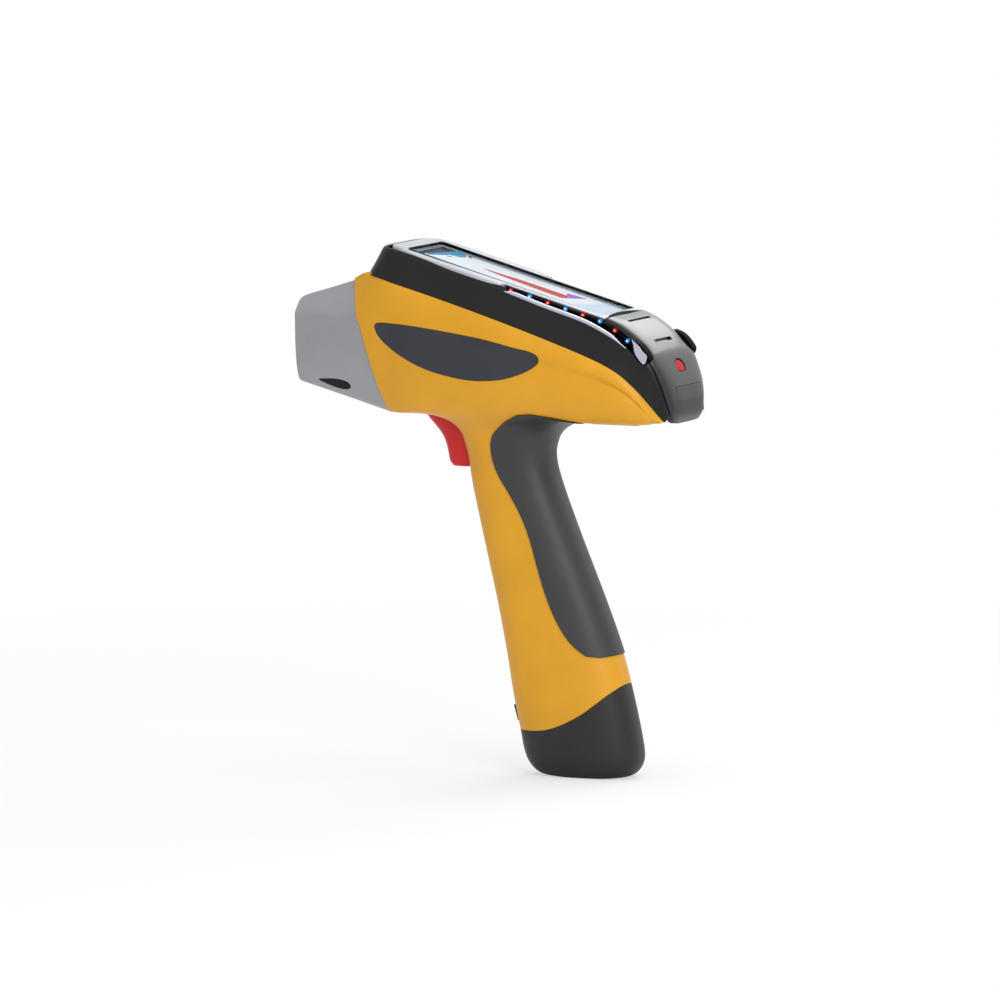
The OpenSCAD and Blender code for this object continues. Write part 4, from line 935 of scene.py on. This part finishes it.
# %% Lenses and their cores
LENS_PROFILE = [(1.4, -1.9), (1.5, -1.8), (1.5, 0), (1.42, 0.2), (1.15, 0.38), (0.7, 0.47), (0.15, 0.5)]
CORE_PROFILE = [(0.5, -0.5), (0.55, 0.35), (0.5, 0.5), (0.32, 0.62), (0.05, 0.66)]
for first, label, material, core in ((0, "red", LIGHT_RED, CORE_WARM), (1, "blue", LIGHT_BLUE, CORE_COOL)):
    places = [(x, side * SLOT_HALF, z, -side * math.pi / 2, 0, 0)
              for side in (-1, 1) for x, z in map(light_place, range(first, LIGHTS, 2))]
    lenses = spread(f"{label}_lenses", turned("lens", LENS_PROFILE), places)
    dressed(lenses, material, f"light_{label}", f"{label}_lights")
    cores = spread(f"{label}_cores", turned("core", CORE_PROFILE, 20), places)
    dressed(cores, core, f"light_{label}")

# %% [markdown]
# ## Bright strips and clips
#
# A thin bright strip edges each slot and ends in a clip beside the rear cover. The strip is a small lip
# carried along the slot's line. The clip is a flat outline in a larger black seat, which shows round it.

# %% Bright strips and the clips at their ends
CLIP_LINE = [(41.8, 53.1), (42.8, 49.8), (43.7, 45.4), (46.3, 41.2), (49.2, 38.6), (50.7, 39.6), (51.6, 43.5),
             (48.7, 46.5), (45.9, 50)]
SEAT_LINE = [(40.4, 53.6), (45.6, 51.4), (49.8, 47.6), (52.9, 43.2), (53, 41), (52, 39), (49.2, 37.7),
             (45.2, 40.4), (42.6, 44.7)]
CLIP_IN, CLIP_OUT = 36.6, 38.6
SEAT_IN, SEAT_OUT = 31.5, 38.1
STRIP_LIP = [(37.4, 0), (39, 0), (39.15, 0.5), (38.95, 0.85), (38.4, 1), (37.7, 1), (37.4, 0.8)]



def drop(name, line, side, inner, outer):
    """A closed smooth outline above the keel, between two distances from the middle plane."""
    outline = smooth([(x, KEEL_Z + z) for x, z in line + line[:1]], 6)[:-1]
    return slab(name, outline, *sorted((side * inner, side * outer)))


def strip_height(x):
    return 0.35 + 1.9 * ease((x + 43) / 7) * ease((38 - x) / 12)


strips, ends = [], []
for side in (-1, 1):
    strip = loft("strip", [
        np.array([(x, side * y, KEEL_Z + z + 0.05 + h * strip_height(x)) for y, h in STRIP_LIP])
        for x, z in SLOT_LINE if x < 39])
    joined(strip, drop("clip", CLIP_LINE, side, CLIP_IN, CLIP_OUT))
    strips.append(strip)
    ends.append(drop("slot_end", SEAT_LINE, side, SEAT_IN, SEAT_OUT))
for pair, name in ((strips, "bright_strips"), (ends, "slot_ends")):
    joined(pair[0], pair[1])
    pair[0].name = name
dressed(strips[0], STRIP, "trim_silver", "trim_strips")
dressed(ends[0], SHADE, "bar_black")

# %% [markdown]
# ## The rear cover
#
# One crowned sheet turns from the deck over the tail. It is glossy, so its skin is drawn finely enough
# for reflections to run over it without a break. The port door is cut from the same sheet as the cover,
# so that the two lie flush when it is closed.

# %% The cover's sheet
COVER_ROWS = [
    [22, 30.5, 64.4, 23.5, 65.4], [31, 30.5, 60.2, 32.5, 61.6], [40.2, 30.6, 53.4, 42.2, 54.6],
    [47.8, 30.9, 45.4, 50, 46.8], [51.8, 34.1, 39.6, 54.6, 41], [55.6, 32.7, 31.6, 59, 33],
    [58.8, 30.5, 22.5, 62.6, 24.5], [60.8, 27.8, 13.5, 64.4, 14.5], [61.8, 25, 6.5, 64.2, 5.5],
    [61.2, 22.5, 3.2, 62.4, 0.8],
]
COVER_T = 2.4


def cover_row(row, steps=56):
    u = np.linspace(-1, 1, steps + 1)
    crown = 1 - np.abs(u) ** 3.5
    return np.stack([row[0] + (row[3] - row[0]) * crown, np.sin(u * math.pi / 2) * row[1],
                     KEEL_Z + row[2] + (row[4] - row[2]) * crown], 1)


def cover_sheet(name):
    steps = 9
    rings = []
    for i, row in enumerate(smooth(COVER_ROWS, steps)):
        lean = math.radians(min(1, i / steps / 5) * 75 + 15)
        outer = cover_row(row)
        inner = outer - COVER_T * np.array([math.sin(lean), 0, math.cos(lean)])
        rings.append(np.concatenate([outer, inner[::-1]]))
    return loft(name, rings)


print("cover drawn from", len(COVER_ROWS), "rows")

# %% Tools for the doorway, the door's pin and the button
DOOR_W, DOOR_H = 40, 22.5
DOOR_LOW, DOOR_HIGH = KEEL_Z - 5, KEEL_Z + 1 + DOOR_H
PIN_X, PIN_Z, PIN_R = 59.1, KEEL_Z + 5.6, 1.25
BUTTON_TILT = math.radians(30)
button_row = along(COVER_ROWS, 4.75)
button_at = Vector((button_row[3], 0, KEEL_Z + button_row[4]))
button_axis = Vector((math.cos(BUTTON_TILT), 0, math.sin(BUTTON_TILT)))


def door_block(name, grow):
    half = DOOR_W / 2 + grow
    return slab(name, oblong(45, 80, DOOR_LOW, DOOR_HIGH + grow), -half, half)


def pin_tube(name, radius, start, end):
    return tube(name, radius, (PIN_X, start, PIN_Z), (PIN_X, end, PIN_Z))


def oval(name, wide, high, start, end):
    """An oval block along the button's axis, wide across the object."""
    a = circle(64)
    edge = [Vector((-math.sin(BUTTON_TILT) * high * math.sin(t), wide * math.cos(t),
                    math.cos(BUTTON_TILT) * high * math.sin(t))) for t in a]
    return loft(name, [[button_at + button_axis * d + p for p in edge] for d in (start, end)])


print("button at", [round(c, 1) for c in button_at])

# %% Rear cover
LUG_IN, LUG_OUT = 20.4, 23.2
lug_line = oblong(56.9, 62.3, 222.9, 228.1)
rear_cover = cover_sheet("rear_cover_shell")
joined(rear_cover, oval("cup", 8, 6.4, -10.2, -1.2), slab("lug", lug_line, -LUG_OUT, -LUG_IN),
       slab("lug", lug_line, LUG_IN, LUG_OUT))
cut(rear_cover, door_block("doorway", 0), oval("bore", 5.9, 4, -9, 5), oval("flange", 6.9, 5.2, -9, -2.6),
    oval("dish", 7, 4.9, -0.9, 5), end_gap("gap", 0, -1.4, 3), pin_tube("pin", PIN_R, -40, 40))


def slit(x, z, tilt_deg, half, width):
    """A cutter for a slit across the cover, turned to stand square on it."""
    t = math.radians(tilt_deg)
    outline = [(x + dx * math.cos(t) + dz * math.sin(t), z - dx * math.sin(t) + dz * math.cos(t))
               for dx, dz in ((-width / 2, -1.4), (width / 2, -1.4), (width / 2, 4), (-width / 2, 4))]
    return slab("slit", outline, -half, half)


cut(rear_cover, slit(31, KEEL_Z + 62.4, 29, 17.5, 1.9), slit(46.6, KEEL_Z + 50.2, 46, 13, 2.6))
dressed(rear_cover, COVER, "cover_grey", "rear_cover")

# %% Port door
KNUCKLE_AT, KNUCKLE_HALF, KNUCKLE_R = 16, 2, 2.3
arm_line = oblong(PIN_X, PIN_X + 3, 223.6, 226.6)
door = cover_sheet("port_door_shell")
common(door, door_block("doorway", -SEAM_GAP))
for side in (-1, 1):
    start, end = side * KNUCKLE_AT - KNUCKLE_HALF, side * KNUCKLE_AT + KNUCKLE_HALF
    joined(door, pin_tube("knuckle", KNUCKLE_R, start, end), slab("arm", arm_line, start, end))
cut(door, pin_tube("pin", PIN_R, -40, 40))
# The door's darker finish paints the shade on the lower part of the cover.
dressed(door, DOOR_PAINTED_SHADE, "door_black", "port_door", body="door")

# %% [markdown]
# ## The power button
#
# The button is an oval cap with a wider flange below the cover, which keeps it from falling out. It is
# drawn along the axis on which it travels.

# %% Power button
button = oval("power_button_cap", 5.7, 3.8, -5, -0.4)
joined(button, oval("flange", 6.6, 4.9, -4.2, -2.8))
dressed(button, RED_BUTTON, "button_red", "power_button", body="power")

# %% [markdown]
# ## The trigger
#
# The trigger is a curved lever on a pin, rounded where the finger lies. Each row gives its front and
# rear edge, and a section with a round nose is stretched between the two.

# %% Trigger
TRIGGER_ROWS = [
    [-91, -31.4, -79, -31.6], [-93.6, -28.8, -77, -29], [-94.8, -24, -76.5, -22], [-96.4, -18, -76.5, -15],
    [-99.2, -12.5, -78, -8], [-103.6, -7.3, -82, -2], [-107.8, -2.8, -88, 4], [-110.2, 1, -96, 8.4],
    [-110, 4, -102, 9],
]
BORE_X, BORE_Z, BORE_R = -99, KEEL_Z + 4, 2.05
section = smooth([[0, 0], [0.03, 0.35], [0.12, 0.7], [0.28, 0.92], [0.5, 1], [1, 1]], 5) + [np.array([1, 0])]


def trigger_ring(row):
    half = np.array([(row[0] + (row[2] - row[0]) * s, w * TRIGGER_W / 2,
                      KEEL_Z + row[1] + (row[3] - row[1]) * s) for s, w in section])
    return whole_ring(half)


trigger = loft("trigger_lever", [trigger_ring(row) for row in smooth(TRIGGER_ROWS, 6)])
cut(trigger, tube("bore", BORE_R, (BORE_X, -20, BORE_Z), (BORE_X, 20, BORE_Z)))
dressed(trigger, TRIGGER, "trigger_red", "trigger", body="trigger")

# %% [markdown]
# ## The battery cap
#
# The cap slides out with the battery. It is the foot of the same loft as the grip, cut off along the
# curved parting line. Its hollow starts above a floor that leans with the grip, where the battery stands.

# %% Battery cap
GRIP_LEAN = math.radians(15.7)
CAP_WALL, CAP_FLOOR = 2.5, 9
cap = loft("battery_cap_shell", grip_rings(0, 9))
c, s = math.cos(GRIP_LEAN), math.sin(GRIP_LEAN)
room = [(x * c - z * s, x * s + z * c) for x, z in oblong(-60, 60, CAP_FLOOR, 160)]
cavity = loft("cavity", grip_rings(0, 9, CAP_WALL))
common(cavity, slab("room", room, -40, 40))
above = [(x, z - SEAM_GAP) for x, z in CAP_LINE] + [(60, 200), (-80, 200)]
cut(cap, cavity, slab("above", above, -BEYOND, BEYOND))
dressed(cap, CAP, "casing_black", "battery_cap", body="battery")

# %% [markdown]
# ## Finishes for the parts that keep their own shape
#
# Screws, pins, boards and the measuring head are simple machined or cast shapes, so the frame's solids
# already look right. They only get the finish of the real material.

# %% Carried-over parts
KEPT = (
    (STEEL, "housing_screws", "window_ring", "button_spring", "port_door_pin", "port_connectors",
     "trigger_pin", "trigger_spring", "detector", "filter_motor", "high_voltage_supply"),
    (BLACKED, "nose_faceplate"), (VENT, "underside_vent"), (WRAP, "battery_pack"), (CERAMIC, "xray_tube"),
    (FILM, "window_film", "display_cable"),
    (BOARD, "port_board", "preamp_board", "signal_board", "main_board"),
    (CASING, "trigger_switch", "battery_latch"),
    (BRASS, "battery_contacts", "collimator"),
    (ALUMINIUM, "measuring_block", "filter_wheel", "chassis"),
)
for material, *names in KEPT:
    for name in names:
        painted(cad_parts[name].data, material)
print(sum(map(len, KEPT)) - len(KEPT), "parts keep their own shape")

# %% [markdown]
# ## Light, floor and background
#
# A wide soft lamp lights the near side, a weaker one the top, and a third picks out the far edge. The
# world is white to the camera, in reflections and through glass, but lights the object less, so that a
# colour looks as written. The floor keeps the shadow and fades to white further out.

# %% Studio
WORLD_LIGHT = 0.62
world = bpy.data.worlds.new("studio")
bpy.context.scene.world = world
world.use_nodes = True
tree = world.node_tree
tree.nodes.clear()
seen = part(tree, "Background", Color=(1, 1, 1, 1))
lit = part(tree, "Background", Color=(1, 1, 1, 1), Strength=WORLD_LIGHT)
path, mix, out = part(tree, "LightPath"), part(tree, "MixShader"), part(tree, "OutputWorld")
either, third = part(tree, "Math"), part(tree, "Math")
either.operation = third.operation = "MAXIMUM"
wire(path, "Is Camera Ray", either, 0)
wire(path, "Is Glossy Ray", either, 1)
wire(either, 0, third, 0)
wire(path, "Is Transmission Ray", third, 1)
wire(third, 0, mix, "Fac")
wire(lit, 0, mix, 1)
wire(seen, 0, mix, 2)
wire(mix, 0, out, "Surface")
print("world light", WORLD_LIGHT)

# %% Lamps
def lamp(name, place, aim, size, power):
    data = bpy.data.lights.new(name, "AREA")
    data.shape = "DISK"
    data.size = size
    data.energy = power
    aimed(placed(name, data), place, Vector(aim) - Vector(place))


lamp("key", (0.75, -0.9, 0.75), (-0.03, 0, 0.18), 0.7, 7)
lamp("top", (0.1, 0.1, 1.2), (-0.03, 0, 0.2), 0.8, 3)
lamp("back", (0.05, 0.95, 0.95), (0.05, 0, 0.25), 0.7, 4)
bpy.context.scene.view_settings.view_transform = "Standard"
print(len(bpy.data.lights), "lamps")

# %% Floor
FLOOR_HALF = 9000
WHITE_FROM, WHITE_AT, WHITE_NEAR = 0.15, 1.0, 0.55
floor_line = oblong(-FLOOR_HALF, FLOOR_HALF, -FLOOR_HALF, FLOOR_HALF)
floor = solid("floor", [(x, y, 0) for x, y in floor_line], [[0, 1, 2, 3]])
pale = bpy.data.materials.new("pale_floor")
pale.use_nodes = True
tree = pale.node_tree
shader = tuned(tree.nodes["Principled BSDF"], Base_Color=(0.9, 0.9, 0.9, 1), Roughness=0.9)
glow, mix, path = part(tree, "Emission"), part(tree, "MixShader"), part(tree, "LightPath")
place, length, share = part(tree, "TexCoord"), part(tree, "VectorMath"), part(tree, "Math")
length.operation, share.operation = "LENGTH", "MULTIPLY"
fade = part(tree, "MapRange", From_Min=WHITE_FROM, From_Max=WHITE_AT, To_Min=WHITE_NEAR)
wire(place, "Object", length, 0)
wire(length, "Value", fade, "Value")
wire(fade, "Result", share, 0)
wire(path, "Is Camera Ray", share, 1)
wire(share, 0, mix, "Fac")
wire(shader, 0, mix, 1)
wire(glow, 0, mix, 2)
wire(mix, 0, tree.nodes["Material Output"], "Surface")
floor.data.materials.append(pale)
print("floor", 2 * FLOOR_HALF * MM, "m across")

# %% Update the scene
bpy.context.view_layer.update()
